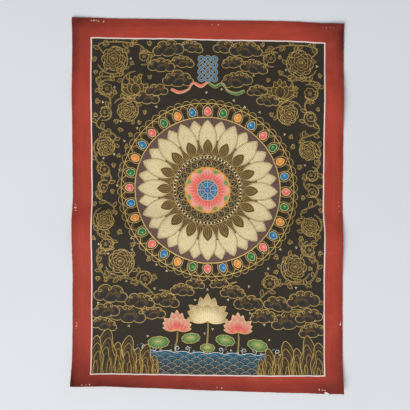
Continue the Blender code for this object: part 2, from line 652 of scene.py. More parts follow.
class PaintTrees:
    """Geometry Nodes that turn flat drawings into paint. Each mark is scaled by its `half_width`."""

    def __init__(self) -> None:
        """Builds the trees."""
        self.brush = self.build_brush()
        self.dotter = self.build_dotter()

    def start(self, name: str, sizes: dict[str, float]) -> tuple[NodeBench, Sockets, Socket]:
        """Starts a tree, and reads the marks' half widths.

        Args:
            name: The tree's name.
            sizes: The names and values of its inputs for sizes.

        Returns:
            A bench on the tree, the sockets that its inputs come in by, and the half width's socket.
        """
        inputs = {"Drawing": GEOMETRY, **sizes, "Paint": "NodeSocketMaterial"}
        bench, given = new_tree("GeometryNodeTree", name, inputs, {"Marks": GEOMETRY})
        width = bench.add("GeometryNodeInputNamedAttribute", {"Name": "half_width"}, data_type="FLOAT")
        return bench, given, width.outputs[0]

    def end(self, bench: NodeBench, marks: Socket, paint: Socket) -> Tree:
        """Ends a tree, with its marks made real and painted.

        Args:
            bench: The bench on the tree.
            marks: The marks.
            paint: Their material.

        Returns:
            The tree.
        """
        whole = bench.add("GeometryNodeRealizeInstances", {"Geometry": marks}).outputs[0]
        painted = bench.add("GeometryNodeSetMaterial", {"Geometry": whole, "Material": paint}).outputs[0]
        bench.add("NodeGroupOutput", {"Marks": painted})
        return bench.tree

    def build_brush(self) -> Tree:
        """Strokes along drawn lines: low ridges with their sides on the ground.

        Returns:
            The tree.
        """
        bench, given, width = self.start("brush_stroke", {"Crown": 0.08, "Sink": 0.05})
        lines = bench.add("GeometryNodeMeshToCurve", {"Mesh": given["Drawing"]}).outputs[0]
        level = bench.add("GeometryNodeSetCurveNormal", {"Curve": lines}, mode="Z_UP").outputs[0]
        sunk = bench.math("MULTIPLY", given["Sink"], -1.0)
        peak = bench.math("ADD", bench.math("MULTIPLY", given["Crown"], -2.0), sunk)
        foot, ridge = given["Sink"], {"Resolution": 2}
        for name, x, y in (("Start", -1.0, foot), ("Middle", 0.0, peak), ("End", 1.0, foot)):
            ridge[name] = bench.add("ShaderNodeCombineXYZ", {"X": x, "Y": y}).outputs[0]
        profile = bench.add("GeometryNodeCurveQuadraticBezier", ridge).outputs[0]
        sweep = {"Curve": level, "Profile Curve": profile, "Scale": width}
        strokes = bench.add("GeometryNodeCurveToMesh", sweep).outputs[0]
        return self.end(bench, strokes, given["Paint"])

    def build_dotter(self) -> Tree:
        """A round blob of paint on each drawn point.

        Returns:
            The tree.
        """
        bench, given, width = self.start("paint_dots", {"Top": 0.55, "Height": 0.3})
        sizes = {"Vertices": 8, "Radius Bottom": 1.0, "Radius Top": given["Top"], "Depth": given["Height"]}
        blob = bench.add("GeometryNodeMeshCone", sizes).outputs
        hidden = {"Geometry": blob["Mesh"], "Selection": blob["Bottom"]}
        open_blob = bench.add("GeometryNodeDeleteGeometry", hidden, domain="FACE").outputs[0]
        dots = {"Points": given["Drawing"], "Instance": open_blob, "Scale": width}
        return self.end(bench, bench.add("GeometryNodeInstanceOnPoints", dots).outputs[0], given["Paint"])


def through_tree(flat: Mesh, tree: Tree, paint: bpy.types.Material) -> Mesh:
    """Runs a drawing through one of the paint trees.

    Args:
        flat: The drawing. It is removed.
        tree: The tree.
        paint: What it is painted with.

    Returns:
        The marks as a plain mesh.
    """
    source = add_object("drawing", flat)
    modifier = source.modifiers.new("tree", "NODES")
    modifier.node_group = tree
    sockets = {item.name: item.identifier for item in tree.interface.items_tree if item.in_out == "INPUT"}
    modifier[sockets["Paint"]] = paint
    marks = evaluated(source)
    bpy.data.meshes.remove(flat)
    return marks


# --- Finishes ---


@dataclass(frozen=True)
class Finish:
    """A coat of mineral colour in glue. `second` is what `tone` adds, and `third` what `tint` adds."""

    name: str
    colour: Colour
    second: Colour | None = None
    third: Colour | None = None
    roughness: float = 0.62
    specular: float = 0.22
    metallic: float = 0.0
    mottle: float = 0.22
    relief: float = 0.00003

    def dress(self, bench: NodeBench, groups: ShaderGroups) -> tuple[Socket, Socket, Socket]:
        """Lays the coat itself. A finish with more to it adds to this.

        Args:
            bench: The bench on the material's tree.
            groups: The shared shader groups.

        Returns:
            The sockets of its colour, roughness and height.
        """
        inputs = {"Colour": self.colour, "Mottle": self.mottle, "Roughness": self.roughness}
        inputs |= {"Second": self.second or self.colour, "Third": self.third or self.colour}
        for layer, name, wanted in (("tone", "Tone", self.second), ("tint", "Tint", self.third)):
            if wanted:
                share = bench.add("ShaderNodeAttribute", attribute_name=layer, attribute_type="GEOMETRY")
                inputs[name] = share.outputs["Fac"]
        body = bench.group(groups.body, inputs)
        return body["Colour"], body["Roughness"], body["Height"]

    def material(self, groups: ShaderGroups) -> bpy.types.Material:
        """Makes the finish's material.

        Args:
            groups: The shared shader groups.

        Returns:
            The material.
        """
        made = bpy.data.materials.new(self.name)
        made.use_nodes = True
        made.diffuse_color = self.colour
        bench = NodeBench(made.node_tree)
        colour, roughness, height = self.dress(bench, groups)
        bump = bench.add("ShaderNodeBump", {"Height": height, "Strength": 1.0, "Distance": self.relief})
        look = {"Base Color": colour, "Roughness": roughness, "Normal": bump.outputs[0]}
        look |= {"Metallic": self.metallic, "Specular IOR Level": self.specular}
        bench.feed(made.node_tree.nodes["Principled BSDF"], look)
        return made


@dataclass(frozen=True)
class BorderRed(Finish):
    """The border's red: brushed along the sides and rubbed, darker along the edges, with painted shade at the
    corners and the curled lower left.
    """

    # the dark red of the darkening along the edges and of the painted shade at the corners and lower left
    darkening: Colour = (0.095, 0.013, 0.008, 1.0)
    rubbed: Colour = (0.50, 0.125, 0.085, 1.0)

    def dress(self, bench: NodeBench, groups: ShaderGroups) -> tuple[Socket, Socket, Socket]:
        """Adds brush marks, rubbed threads, darkening along the edges and painted shade at the corners and
        lower left to the coat.

        Args:
            bench: The bench on the material's tree.
            groups: The shared shader groups.

        Returns:
            The sockets of its colour, roughness and height.
        """
        colour, roughness, height = super().dress(bench, groups)
        place = bench.place()
        upright = bench.noise(bench.stretch(place, (1.0, 0.06, 1.0)), 210.0, 2.0)
        level = bench.noise(bench.stretch(place, (0.06, 1.0, 1.0)), 210.0, 2.0)
        at_side = bench.step(bench.math("ABSOLUTE", bench.axes(place)[0]), 0.234, 0.240)
        strokes = bench.mix(at_side, level, upright)
        brushed = bench.lighten(colour, bench.step(strokes, 0.25, 0.75, (0.93, 1.07)))
        worn = bench.step(bench.noise(place, 30.0, 4.0), 0.56, 0.74, (0.0, 0.45))
        worn_threads = bench.math("MULTIPLY", worn, bench.group(groups.weave)["Height"])
        darkening_inputs = {"Colour": bench.mix(worn_threads, brushed, self.rubbed), "Dark": self.darkening}
        # darker along the edges, with painted shade at the corners and the curled lower left
        darkened = bench.group(groups.darkening_and_shade, darkening_inputs | {"Sides": 0.36, "Corners": 0.42, "Foot": 0.54})
        return darkened["Colour"], roughness, height


@dataclass(frozen=True)
class RawCotton(Finish):
    """The unpainted back and cut edges: sized cotton with its weave and stains of size."""

    stain: Colour = (0.40, 0.29, 0.17, 1.0)
    pitch: float = 0.0007

    def dress(self, bench: NodeBench, groups: ShaderGroups) -> tuple[Socket, Socket, Socket]:
        """Adds thread shadows and stains to the coat.

        Args:
            bench: The bench on the material's tree.
            groups: The shared shader groups.

        Returns:
            The sockets of its colour, roughness and height.
        """
        colour, roughness, _ = super().dress(bench, groups)
        threads = bench.group(groups.weave, {"Pitch": self.pitch})["Height"]
        stained = bench.step(bench.noise(bench.place(), 9.0, 5.0), 0.5, 0.8, (0.0, 0.6))
        value = bench.step(threads, 0.0, 1.0, (0.78, 1.06))
        return bench.lighten(bench.mix(stained, colour, self.stain), value), roughness, threads


class Paint(Enum):
    """The finishes."""

    BORDER = BorderRed("border_red", (0.415, 0.052, 0.031, 1.0), specular=0.16, mottle=0.24)
    GROUND = Finish(
        "panel_black", (0.033, 0.0268, 0.0178, 1.0), second=(0.165, 0.088, 0.012, 1.0),
        third=(0.016, 0.028, 0.046, 1.0), specular=0.16, mottle=0.4,
    )
    COTTON = RawCotton("raw_cotton", (0.58, 0.50, 0.38, 1.0), roughness=0.9, mottle=0.2, relief=0.0001)
    PALE_LINE = Finish("pale_line", (0.86, 0.70, 0.63, 1.0), mottle=0.3)
    PRIMING = Finish("bare_priming", (0.85, 0.62, 0.48, 1.0), roughness=0.85, mottle=0.4, relief=0.00006)
    GOLD = Finish(
        "gold_line", (0.75, 0.50, 0.145, 1.0), roughness=0.46, specular=0.25, metallic=0.25, mottle=0.5
    )
    BRONZE = Finish("bronze_line", (0.29, 0.165, 0.040, 1.0), roughness=0.5, mottle=0.5)
    CREAM = Finish("cream_body", (0.92, 0.75, 0.42, 1.0), second=(0.25, 0.15, 0.045, 1.0), mottle=0.14)
    UMBER = Finish("umber_line", (0.12, 0.070, 0.025, 1.0), mottle=0.4)
    MAUVE = Finish("mauve_body", (0.12, 0.070, 0.056, 1.0), second=(0.035, 0.028, 0.020, 1.0))
    MAUVE_LINE = Finish("mauve_line", (0.32, 0.19, 0.145, 1.0), mottle=0.4)
    PINK = Finish("coral_pink", (0.80, 0.135, 0.125, 1.0), second=(0.85, 0.60, 0.42, 1.0), specular=0.3)
    ORANGE = Finish("saffron", (0.78, 0.26, 0.035, 1.0), second=(0.85, 0.62, 0.25, 1.0), specular=0.3)
    GREEN = Finish("malachite", (0.012, 0.165, 0.040, 1.0), second=(0.28, 0.42, 0.16, 1.0), specular=0.3)
    BLUE = Finish("azurite", (0.012, 0.17, 0.36, 1.0), second=(0.30, 0.55, 0.62, 1.0), specular=0.3)
    TEAL = Finish("pond_teal", (0.012, 0.105, 0.18, 1.0), second=(0.022, 0.028, 0.032, 1.0))
    FOAM = Finish("foam_blue", (0.17, 0.37, 0.47, 1.0), mottle=0.3)
    WHITE = Finish("shell_white", (0.80, 0.80, 0.74, 1.0), mottle=0.2)


class Level(Enum):
    """How high what is painted lies over the cloth, in millimetres."""

    GROUND = 0.02
    FIRST = 0.05
    SECOND = 0.08
    THIRD = 0.11
    FOURTH = 0.14
    FIFTH = 0.17


# --- The cloth ---


class Swell(NamedTuple):
    """A low rise that runs from one side edge to the other."""

    crest: float  # its place up the cloth, on the middle line
    above: float  # reach from the crest towards the top
    below: float  # reach from the crest towards the bottom
    left: float  # heights at the left edge, the middle and the right edge
    middle: float
    right: float


class CornerCurl(NamedTuple):
    """A corner that lifts further than the edges beside it."""

    across: float  # -1 for a left corner and 1 for a right one
    up: float  # -1 for a bottom corner and 1 for a top one
    reach: float
    height: float


class Ripple(NamedTuple):
    """One wave of the cloth's fine unevenness."""

    length: float
    heading: float  # degrees from +x
    phase: float  # degrees


@dataclass(frozen=True)
class ClothShape:
    """The cut sheet's outline and folds, as in the CAD model, in metres.

    Its methods take places across and up the flat cloth, from its middle.
    """

    width: float = 0.550
    length: float = 0.750
    thickness: float = 0.0012
    corners: Table = (  # the two lower ones first
        (-0.2757, -0.3633), (0.2741, -0.3807), (-0.2757, 0.3809), (0.2757, 0.3674),
    )
    # How far each edge stands outside the straight line between its corners, by share of the edge
    left_edge: Table = (
        (0.00, 0.0), (0.08, -0.0010), (0.25, -0.0010), (0.42, -0.0006), (0.51, -0.0014),
        (0.65, -0.0005), (0.80, 0.0), (0.93, -0.0006), (1.00, 0.0),
    )
    right_edge: Table = (
        (0.00, 0.0), (0.08, -0.0010), (0.25, -0.0013), (0.43, -0.0011), (0.51, -0.0018),
        (0.67, -0.0006), (0.90, -0.0003), (1.00, 0.0),
    )
    bottom_edge: Table = (
        (0.00, 0.0), (0.12, -0.0006), (0.29, 0.0007), (0.50, 0.0022), (0.73, 0.0028),
        (0.90, 0.0018), (1.00, 0.0),
    )
    top_edge: Table = (
        (0.00, 0.0), (0.18, 0.0003), (0.40, 0.0017), (0.50, 0.0013), (0.80, 0.0030),
        (0.95, 0.0004), (1.00, 0.0),
    )
    swell_slope: float = -0.018  # rise of a crest's place for each metre to the right
    swells: tuple[Swell, ...] = (
        Swell(crest=0.226, above=0.088, below=0.078, left=0.0045, middle=0.0030, right=0.0070),
        Swell(crest=-0.058, above=0.060, below=0.098, left=0.0100, middle=0.0045, right=0.0060),
    )
    curl_reach: float = 0.105
    lower_curl: Table = (
        (-0.275, 0.0140), (-0.180, 0.0110), (-0.060, 0.0078), (0.080, 0.0046), (0.185, 0.0050),
        (0.275, 0.0080),
    )
    corner_curls: tuple[CornerCurl, ...] = (
        CornerCurl(across=-1, up=-1, reach=0.120, height=0.0085),
        CornerCurl(across=1, up=-1, reach=0.095, height=0.0040),
        CornerCurl(across=-1, up=1, reach=0.105, height=0.0030),
        CornerCurl(across=1, up=1, reach=0.110, height=0.0042),
    )
    ripple_height: float = 0.00011  # of each ripple, from its middle
    ripple_bend: float = 0.19  # length over which a ripple's own line bends and bends back
    ripples: tuple[Ripple, ...] = (
        Ripple(length=0.052, heading=84, phase=20),
        Ripple(length=0.037, heading=12, phase=130),
        Ripple(length=0.061, heading=38, phase=250),
        Ripple(length=0.043, heading=127, phase=75),
    )

    def outline(self, across: np.ndarray, up: np.ndarray) -> tuple[np.ndarray, np.ndarray]:
        """Where points of the flat cloth lie, seen from above.

        Args:
            across: Their places across.
            up: Their places up.

        Returns:
            Their x and y.
        """
        right, top = across / self.width + 0.5, up / self.length + 0.5
        shares = ((1 - right) * (1 - top), right * (1 - top), (1 - right) * top, right * top)
        x, y = (sum(share * corner[axis] for share, corner in zip(shares, self.corners)) for axis in (0, 1))
        x = x + right * read_table(self.right_edge, top) - (1 - right) * read_table(self.left_edge, top)
        y = y + top * read_table(self.top_edge, right) - (1 - top) * read_table(self.bottom_edge, right)
        return x, y

    def lift(self, across: np.ndarray, up: np.ndarray) -> np.ndarray:
        """Height of the cloth's underside over the surface.

        Args:
            across: Places across.
            up: Places up.

        Returns:
            The height at each place.
        """
        height = np.zeros(np.shape(across))
        side = across / (self.width / 2)
        for swell in self.swells:
            outer = np.where(side < 0, swell.left, swell.right)
            crown = swell.middle + (outer - swell.middle) * smooth(np.abs(side))
            away = up - (swell.crest + self.swell_slope * across)
            share = np.clip(away / np.where(away > 0, swell.above, swell.below), -1.0, 1.0)
            height = height + crown * 0.5 * (1.0 + np.cos(np.pi * share))
        rolled = np.maximum(1.0 - (up + self.length / 2) / self.curl_reach, 0.0)
        height = height + read_table(self.lower_curl, across) * rolled**2
        for corner in self.corner_curls:
            away = np.hypot(across - corner.across * self.width / 2, up - corner.up * self.length / 2)
            height = height + corner.height * np.maximum(1.0 - away / corner.reach, 0.0) ** 2
        return height + self.unevenness(across, up)

    def unevenness(self, across: np.ndarray, up: np.ndarray) -> np.ndarray:
        """The fine cockling of sized cloth. It only lifts, so the sheet stays on the surface.

        Args:
            across: Places across.
            up: Places up.

        Returns:
            The height at each place.
        """
        total = np.zeros(np.shape(across))
        for ripple in self.ripples:
            cosine, sine = np.cos(np.radians(ripple.heading)), np.sin(np.radians(ripple.heading))
            way, aside = across * cosine + up * sine, up * cosine - across * sine
            bend = 0.9 * np.sin(2 * np.pi * aside / self.ripple_bend)
            total = total + np.sin(2 * np.pi * way / ripple.length + np.radians(ripple.phase) + bend)
        return self.ripple_height * (total + np.sqrt(total**2 + 0.6)) / 2

    def underside(self, across: np.ndarray, up: np.ndarray) -> Points:
        """Points of the cloth's underside."""
        return np.column_stack([*self.outline(across, up), self.lift(across, up)])

    def normals(self, across: np.ndarray, up: np.ndarray, reach: float = 0.0008) -> Points:
        """The directions that the painted face looks in.

        Args:
            across: Places across.
            up: Places up.
            reach: How far apart the points are that give the slope.

        Returns:
            A unit vector for each place.
        """
        aside = self.underside(across + reach, up) - self.underside(across - reach, up)
        along = self.underside(across, up + reach) - self.underside(across, up - reach)
        normal = np.cross(aside, along)
        return normal / np.linalg.norm(normal, axis=1, keepdims=True)

    def face(self, across: np.ndarray, up: np.ndarray, over: np.ndarray | float = 0.0) -> Points:
        """Points at heights over the painted face."""
        height = np.asarray(self.thickness + over).reshape(-1, 1)
        return self.underside(across, up) + self.normals(across, up) * height


@dataclass(frozen=True)
class HandWobble:
    """The small unsteadiness of a hand-drawn line, in millimetres, the same for all that is painted."""

    reach: float = 0.42
    wavelengths: tuple[float, ...] = (61.0, 37.0, 23.0, 14.0)

    def shift(self, points: Points) -> Points:
        """How far each point is moved.

        Args:
            points: Points on the flat cloth.

        Returns:
            The moves across and up.
        """
        moves = np.zeros((len(points), 2))
        for index, wavelength in enumerate(self.wavelengths):
            for axis in (0, 1):
                heading = 0.7 + 1.9 * index + axis
                way = points[:, 0] * np.cos(heading) + points[:, 1] * np.sin(heading)
                moves[:, axis] += np.sin(2 * np.pi * way / wavelength + 2.3 * index + 4.1 * axis)
        return moves * self.reach / len(self.wavelengths)


@dataclass(frozen=True)
class Panel:
    """The dark panel's edges on the flat cloth, in millimetres: the middle of the pale line."""

    left: Table = ((-351.0, -235.9), (0.0, -235.3), (334.0, -236.5))  # by place up
    right: Table = ((-340.0, 237.6), (-60.0, 237.4), (20.0, 235.8), (334.0, 236.5))
    top: Table = ((-236.5, 334.3), (0.0, 334.9), (236.5, 334.6))  # by place across
    bottom_left: float = -351.1
    bottom_right: float = -339.5
    # The rough starts and lengths of its sides, where their points are spread out
    level: tuple[float, float] = (-236.0, 473.0)
    left_upright: tuple[float, float] = (-351.0, 685.0)
    right_upright: tuple[float, float] = (-340.0, 674.0)

    def bottom(self, across: np.ndarray) -> np.ndarray:
        """Where the bottom line is, which slopes with the cut edge."""
        share = (np.asarray(across, float) - self.level[0]) / self.level[1]
        return self.bottom_left + (self.bottom_right - self.bottom_left) * share

    def outline(self, inset: float, samples: int = 24) -> Points:
        """The panel's closed outline.

        Args:
            inset: How far inside the pale line's middle it runs.
            samples: Points for each side.

        Returns:
            The outline, anticlockwise from the bottom left corner.
        """
        share = np.linspace(0.0, 1.0, samples, endpoint=False)
        spans = (self.level, self.left_upright, self.right_upright)
        across, up, right_up = (start + inset + share * (reach - 2 * inset) for start, reach in spans)
        sides = (
            np.column_stack([across, self.bottom(across) + inset]),
            np.column_stack([read_table(self.right, right_up) - inset, right_up]),
            np.column_stack([across[::-1] + 1.0, read_table(self.top, across[::-1]) - inset]),
            np.column_stack([read_table(self.left, up[::-1]) + inset, up[::-1]]),
        )
        return np.vstack(sides)


# --- The painting ---


@dataclass
class Mark:
    """What all marks have: how high it lies, and how many covers there were when it was drawn."""

    level: Level
    order: int


@dataclass
class Stroke(Mark):
    """A drawn line, or a group of dots, with the half width at each point."""

    points: Points
    half_width: np.ndarray


@dataclass
class Coat(Mark):
    """A filled shape, and how much of its finish's other colours it has."""

    outline: Points
    spacing: float
    tone: Tone
    tint: float


class Painting:
    """Collects what is painted, from the front to the back, and makes its meshes.

    Each motif draws its own lines and then coats and covers its outline, so that what is drawn later goes
    behind it.
    """

    step = 0.9  # between a line's points
    spacing = 2.3  # between a coat's points
    edge = 1.3  # where the paint ends, inside the pale line's middle
    lift = 0.012  # of a line over the coat that it is drawn on
    margin = 0.01  # of each tile of a piece's map

    def __init__(self, shape: ClothShape, panel: Panel, groups: ShaderGroups) -> None:
        """Starts an empty painting.

        Args:
            shape: The cloth that it is laid on.
            panel: The panel that it fills.
            groups: The shared shader groups.
        """
        self.shape = shape
        self.frame = panel.outline(self.edge)
        self.random = np.random.default_rng(SEED)
        self.wobble = HandWobble()
        self.part = "ornament"
        self.marks: dict[str, dict[str, dict[Paint, list[Mark]]]] = {"coats": {}, "lines": {}, "dots": {}}
        self.covers: list[Points] = []
        self.lows = self.highs = np.empty((0, 2))  # the corners of each cover's box
        self.materials = {paint: paint.value.material(groups) for paint in Paint}
        self.trees = PaintTrees()

    def note(self, kind: str, paint: Paint, mark: Mark) -> None:
        """Keeps a mark for later, with the part that is being painted."""
        self.marks[kind].setdefault(self.part, {}).setdefault(paint, []).append(mark)

    def line(
        self, points: Points, width: float, paint: Paint = Paint.GOLD, level: Level = Level.GROUND,
        taper: float = 0.35,
    ) -> None:
        """Draws one stroke.

        Args:
            points: The line.
            width: Its full width in the middle.
            paint: What it is painted with.
            level: What it lies on.
            taper: Its width at the ends, as a share of the middle's.
        """
        points = resample(points, self.step)
        share = np.linspace(0.0, 1.0, len(points))
        body = taper + (1.0 - taper) * np.sin(np.pi * share) ** 0.5
        press = 1.0 + 0.13 * np.sin(share * len(points) * 0.35 + self.random.uniform(0, 6.3))
        self.note("lines", paint, Stroke(level, len(self.covers), points, 0.45 * width * body * press))

    def dot(
        self, places: Points, width: float, paint: Paint = Paint.GOLD, level: Level = Level.GROUND
    ) -> None:
        """Puts round dots of paint.

        Args:
            places: Their middles.
            width: Their rough width.
            paint: What they are painted with.
            level: What they lie on.
        """
        places = np.asarray(places, float).reshape(-1, 2)
        half_width = 0.5 * width * self.random.uniform(0.8, 1.15, len(places))
        self.note("dots", paint, Stroke(level, len(self.covers), places, half_width))

    def coat(
        self, outline: Points, paint: Paint, level: Level = Level.FIRST, tone: Tone = even(0.0),
        spacing: float = spacing, tint: float = 0.0, covers: bool = True,
    ) -> None:
        """Fills a closed outline with one paint.

        Args:
            outline: The outline, not repeating its first point.
            paint: What fills it.
            level: What it lies on.
            tone: Gives the share of the finish's second colour.
            spacing: The distance between its points.
            tint: The share of the finish's third colour.
            covers: Whether it hides what is drawn after it.
        """
        self.note("coats", paint, Coat(level, len(self.covers), outline, spacing, tone, tint))
        if covers:
            self.cover(outline)

    def shade(
        self, outline: Points, edges: Sequence[Points], depth: float, strength: float, tint: float = 0.0,
        covers: bool = True,
    ) -> None:
        """Washes gold into a shape on the dark ground, strongest along some of its lines.

        Args:
            outline: The shape.
            edges: The lines that the wash starts from.
            depth: How far it reaches before it has mostly faded.
            strength: How much gold there is at the lines.
            tint: How much indigo lies under it.
            covers: Whether it hides what is drawn after it.
        """
        line = np.vstack([resample(edge, 1.6) for edge in edges])

        def wash(points: Points) -> np.ndarray:
            """The share of gold at each point."""
            return strength * np.exp(-((distance_to(points, line) / depth) ** 1.3))

        self.coat(outline, Paint.GROUND, Level.GROUND, wash, tint=tint, covers=covers)

    def cover(self, outline: Points) -> None:
        """Keeps a shape free of what is drawn after it."""
        self.covers.append(outline)

    def scatter(
        self, corners: Table, tries: int, room: float, gap: float, middle: float = 0.0
    ) -> list[Points]:
        """Picks places at random on the ground that is still free.

        Args:
            corners: The lowest and the highest corner of where they may be.
            tries: How many places are tried.
            room: How far each stays from what is drawn.
            gap: How far apart they stay.
            middle: Half the width of the upright strip in the middle that is left out.

        Returns:
            The places.
        """
        places = self.random.uniform(*corners, (tries, 2))
        places = places[np.abs(places[:, 0]) >= middle]
        kept: list[Points] = []
        for place in places[self.free(places, room)]:
            if all(np.hypot(*(place - other)) > gap for other in kept):
                kept.append(place)
        return kept

    def free(self, places: Points, room: float) -> np.ndarray:
        """Which places have nothing drawn round them yet.

        Args:
            places: The places.
            room: The room that each wants.

        Returns:
            True for each free place.
        """
        clear = inside(places, self.frame) & (distance_to(places, resample(closed(self.frame), 3.0)) > room)
        for cover in self.covers:
            low, high = cover.min(axis=0) - room, cover.max(axis=0) + room
            near = np.flatnonzero(clear & ((places > low) & (places < high)).all(axis=1))
            if len(near):
                chosen = places[near]
                clear[near[inside(chosen, cover) | (distance_to(chosen, cover) < room)]] = False
        return clear

    def reaching(self, points: Points, order: int) -> np.ndarray:
        """The numbers of the first covers whose boxes reach into the points' box."""
        low, high = points.min(axis=0), points.max(axis=0)
        return np.flatnonzero((self.highs[:order] > low).all(axis=1) & (self.lows[:order] < high).all(axis=1))

    def uncovered(self, points: Points, order: int) -> np.ndarray:
        """Which points lie behind nothing.

        Args:
            points: The points.
            order: How many covers there were when they were drawn.

        Returns:
            True for each point that no earlier cover hides.
        """
        seen = np.ones(len(points), bool)
        for number in self.reaching(points, order) if len(points) else ():
            seen[seen] = ~inside(points[seen], self.covers[number])
            if not seen.any():
                break
        return seen

    def showing(self, stroke: Stroke) -> np.ndarray:
        """Which points of a stroke show in the panel."""
        return self.uncovered(stroke.points, stroke.order) & inside(stroke.points, self.frame)

    def line_mesh(self, strokes: list[Stroke], whole: bool = False) -> Mesh:
        """Draws the middle lines of strokes, where they show.

        Args:
            strokes: The strokes.
            whole: Whether they show everywhere, and outside the panel too.

        Returns:
            The flat drawing.
        """
        corners, widths, edges = [], [], []
        start = 0
        for stroke in strokes:
            seen = np.ones(len(stroke.points), bool) if whole else self.showing(stroke)
            breaks = np.flatnonzero(np.diff(np.concatenate(([0], seen.astype(int), [0]))))
            for first, last in breaks.reshape(-1, 2):
                if last - first < 2:
                    continue
                kept = first + thinned(stroke.points[first:last])
                corners.append(raised(stroke.points[kept], stroke.level.value + self.lift))
                widths.append(stroke.half_width[kept])
                numbers = start + np.arange(len(kept))
                edges.append(np.column_stack([numbers[:-1], numbers[1:]]))
                start += len(kept)
        mesh = make_mesh("lines", corners, edges, [])
        if corners:
            set_values(mesh, "half_width", widths)
        return mesh

    def dot_mesh(self, dots: list[Stroke]) -> Mesh:
        """Draws the middles of dots, where they show.

        Args:
            dots: The dots.

        Returns:
            The flat drawing.
        """
        shown = [(group, self.showing(group)) for group in dots]
        corners = [raised(group.points[seen], group.level.value) for group, seen in shown]
        mesh = make_mesh("dots", corners, [], [])
        set_values(mesh, "half_width", [group.half_width[seen] for group, seen in shown])
        return mesh

    def coat_mesh(self, coats: list[Coat]) -> Mesh:
        """Makes the filled shapes of one paint, where they show.

        Args:
            coats: The shapes.

        Returns:
            Their mesh, still flat.
        """
        corners, faces, tones, tints = [], [], [], []
        start = 0
        for coat in coats:
            points, triangles = self.fill(coat)
            corners.append(raised(points, coat.level.value))
            faces.append(triangles + start)
            tones.append(np.clip(coat.tone(points), 0.0, 1.0))
            tints.append(np.full(len(points), coat.tint))
            start += len(points)
        mesh = make_mesh("coats", corners, [], faces)
        set_values(mesh, "tone", tones)
        set_values(mesh, "tint", tints)
        return mesh

    def fill(self, coat: Coat) -> tuple[Points, np.ndarray]:
        """Fills the part of a coat that shows with triangles small enough to follow the folds.

        Args:
            coat: The coat.

        Returns:
            The points and the triangles.
        """
        outline = coat.outline
        loops = [outline, *(self.covers[number] for number in self.reaching(outline, coat.order))]
        if not inside(outline, self.frame).all():
            loops.append(self.frame)
        corners = [Vector(point) for point in np.vstack([*loops, self.lattice(coat)])]
        starts = np.cumsum([0, *(len(loop) for loop in loops)])
        edges = [
            (start + index, start + (index + 1) % len(loop))
            for start, loop in zip(starts, loops)
            for index in range(len(loop))
        ]
        points, _, faces, *_ = delaunay_2d_cdt(corners, edges, [], 0, 1e-4)
        points = np.array([tuple(point) for point in points]).reshape(-1, 2)
        faces = np.array(faces, int).reshape(-1, 3)
        middles = points[faces].mean(axis=1)
        kept = faces[inside(middles, outline) & inside(middles, self.frame)]
        kept = kept[self.uncovered(points[kept].mean(axis=1), coat.order)]
        used, numbers = np.unique(kept, return_inverse=True)
        return points[used], numbers.reshape(-1, 3)

    def lattice(self, coat: Coat) -> Points:
        """Evenly spaced points in the part of a coat that shows.

        Args:
            coat: The coat.

        Returns:
            The points.
        """
        outline, spacing = coat.outline, coat.spacing
        low, high = outline.min(axis=0), outline.max(axis=0)
        rows = np.arange(low[1] + spacing / 2, high[1], spacing)
        columns = np.arange(low[0] + spacing / 4, high[0], spacing)
        places = np.stack(np.meshgrid(columns, rows), axis=-1)
        places[1::2, :, 0] += spacing / 2
        places = places.reshape(-1, 2)
        places = places[inside(places, outline)]
        places = places[self.uncovered(places, coat.order)]
        return places[distance_to(places, outline) > spacing * 0.4]

    def join(self, name: str, meshes: dict[Paint, Mesh]) -> Piece:
        """Joins the meshes of one piece, each with its own paint and its own tile of the map.

        Args:
            name: The piece's name.
            meshes: The meshes, still flat, by their paint.

        Returns:
            The piece.
        """
        flats = []
        for mesh in meshes.values():
            places = np.empty(len(mesh.vertices) * 3, np.float32)
            mesh.vertices.foreach_get("co", places)
            flats.append(places.reshape(-1, 3).astype(float))
        everywhere = np.vstack(flats)[:, :2]
        low, span = everywhere.min(axis=0), np.ptp(everywhere, axis=0).max()
        tiles = int(np.ceil(np.sqrt(len(meshes))))
        joined = bpy.data.meshes.new(name)
        work = bmesh.new()
        for number, ((paint, mesh), flat) in enumerate(zip(meshes.items(), flats)):
            in_tile = self.margin + (1 - 2 * self.margin) * (flat[:, :2] - low) / span
            self.lay(mesh, flat, (np.array(divmod(number, tiles)) + in_tile) / tiles)
            mesh.polygons.foreach_set("material_index", np.full(len(mesh.polygons), number, np.int32))
            work.from_mesh(mesh)
            joined.materials.append(self.materials[paint])
            bpy.data.meshes.remove(mesh)
        bmesh.ops.delete(work, geom=[v for v in work.verts if not v.link_faces], context="VERTS")
        work.normal_update()
        bmesh.ops.reverse_faces(work, faces=[face for face in work.faces if face.normal.z < 0])
        work.to_mesh(joined)
        work.free()
        joined.shade_smooth()
        return add_object(name, joined)

    def lay(self, mesh: Mesh, flat: Points, mapped: Points) -> None:
        """Moves a flat mesh, in millimetres, onto the cloth, and gives it its map.

        Args:
            mesh: The mesh.
            flat: Its points, still flat.
            mapped: Each point's place on the map.
        """
        corners = np.empty(len(mesh.loops), np.int32)
        mesh.loops.foreach_get("vertex_index", corners)
        while mesh.uv_layers:
            mesh.uv_layers.remove(mesh.uv_layers[0])
        mesh.uv_layers.new(name=BAKE_UV).data.foreach_set("uv", mapped[corners].ravel())
        drawn = flat[:, :2] + self.wobble.shift(flat[:, :2])
        laid = self.shape.face(*(drawn * MILLIMETRE).T, flat[:, 2] * MILLIMETRE)
        mesh.vertices.foreach_set("co", laid.astype(np.float32).ravel())

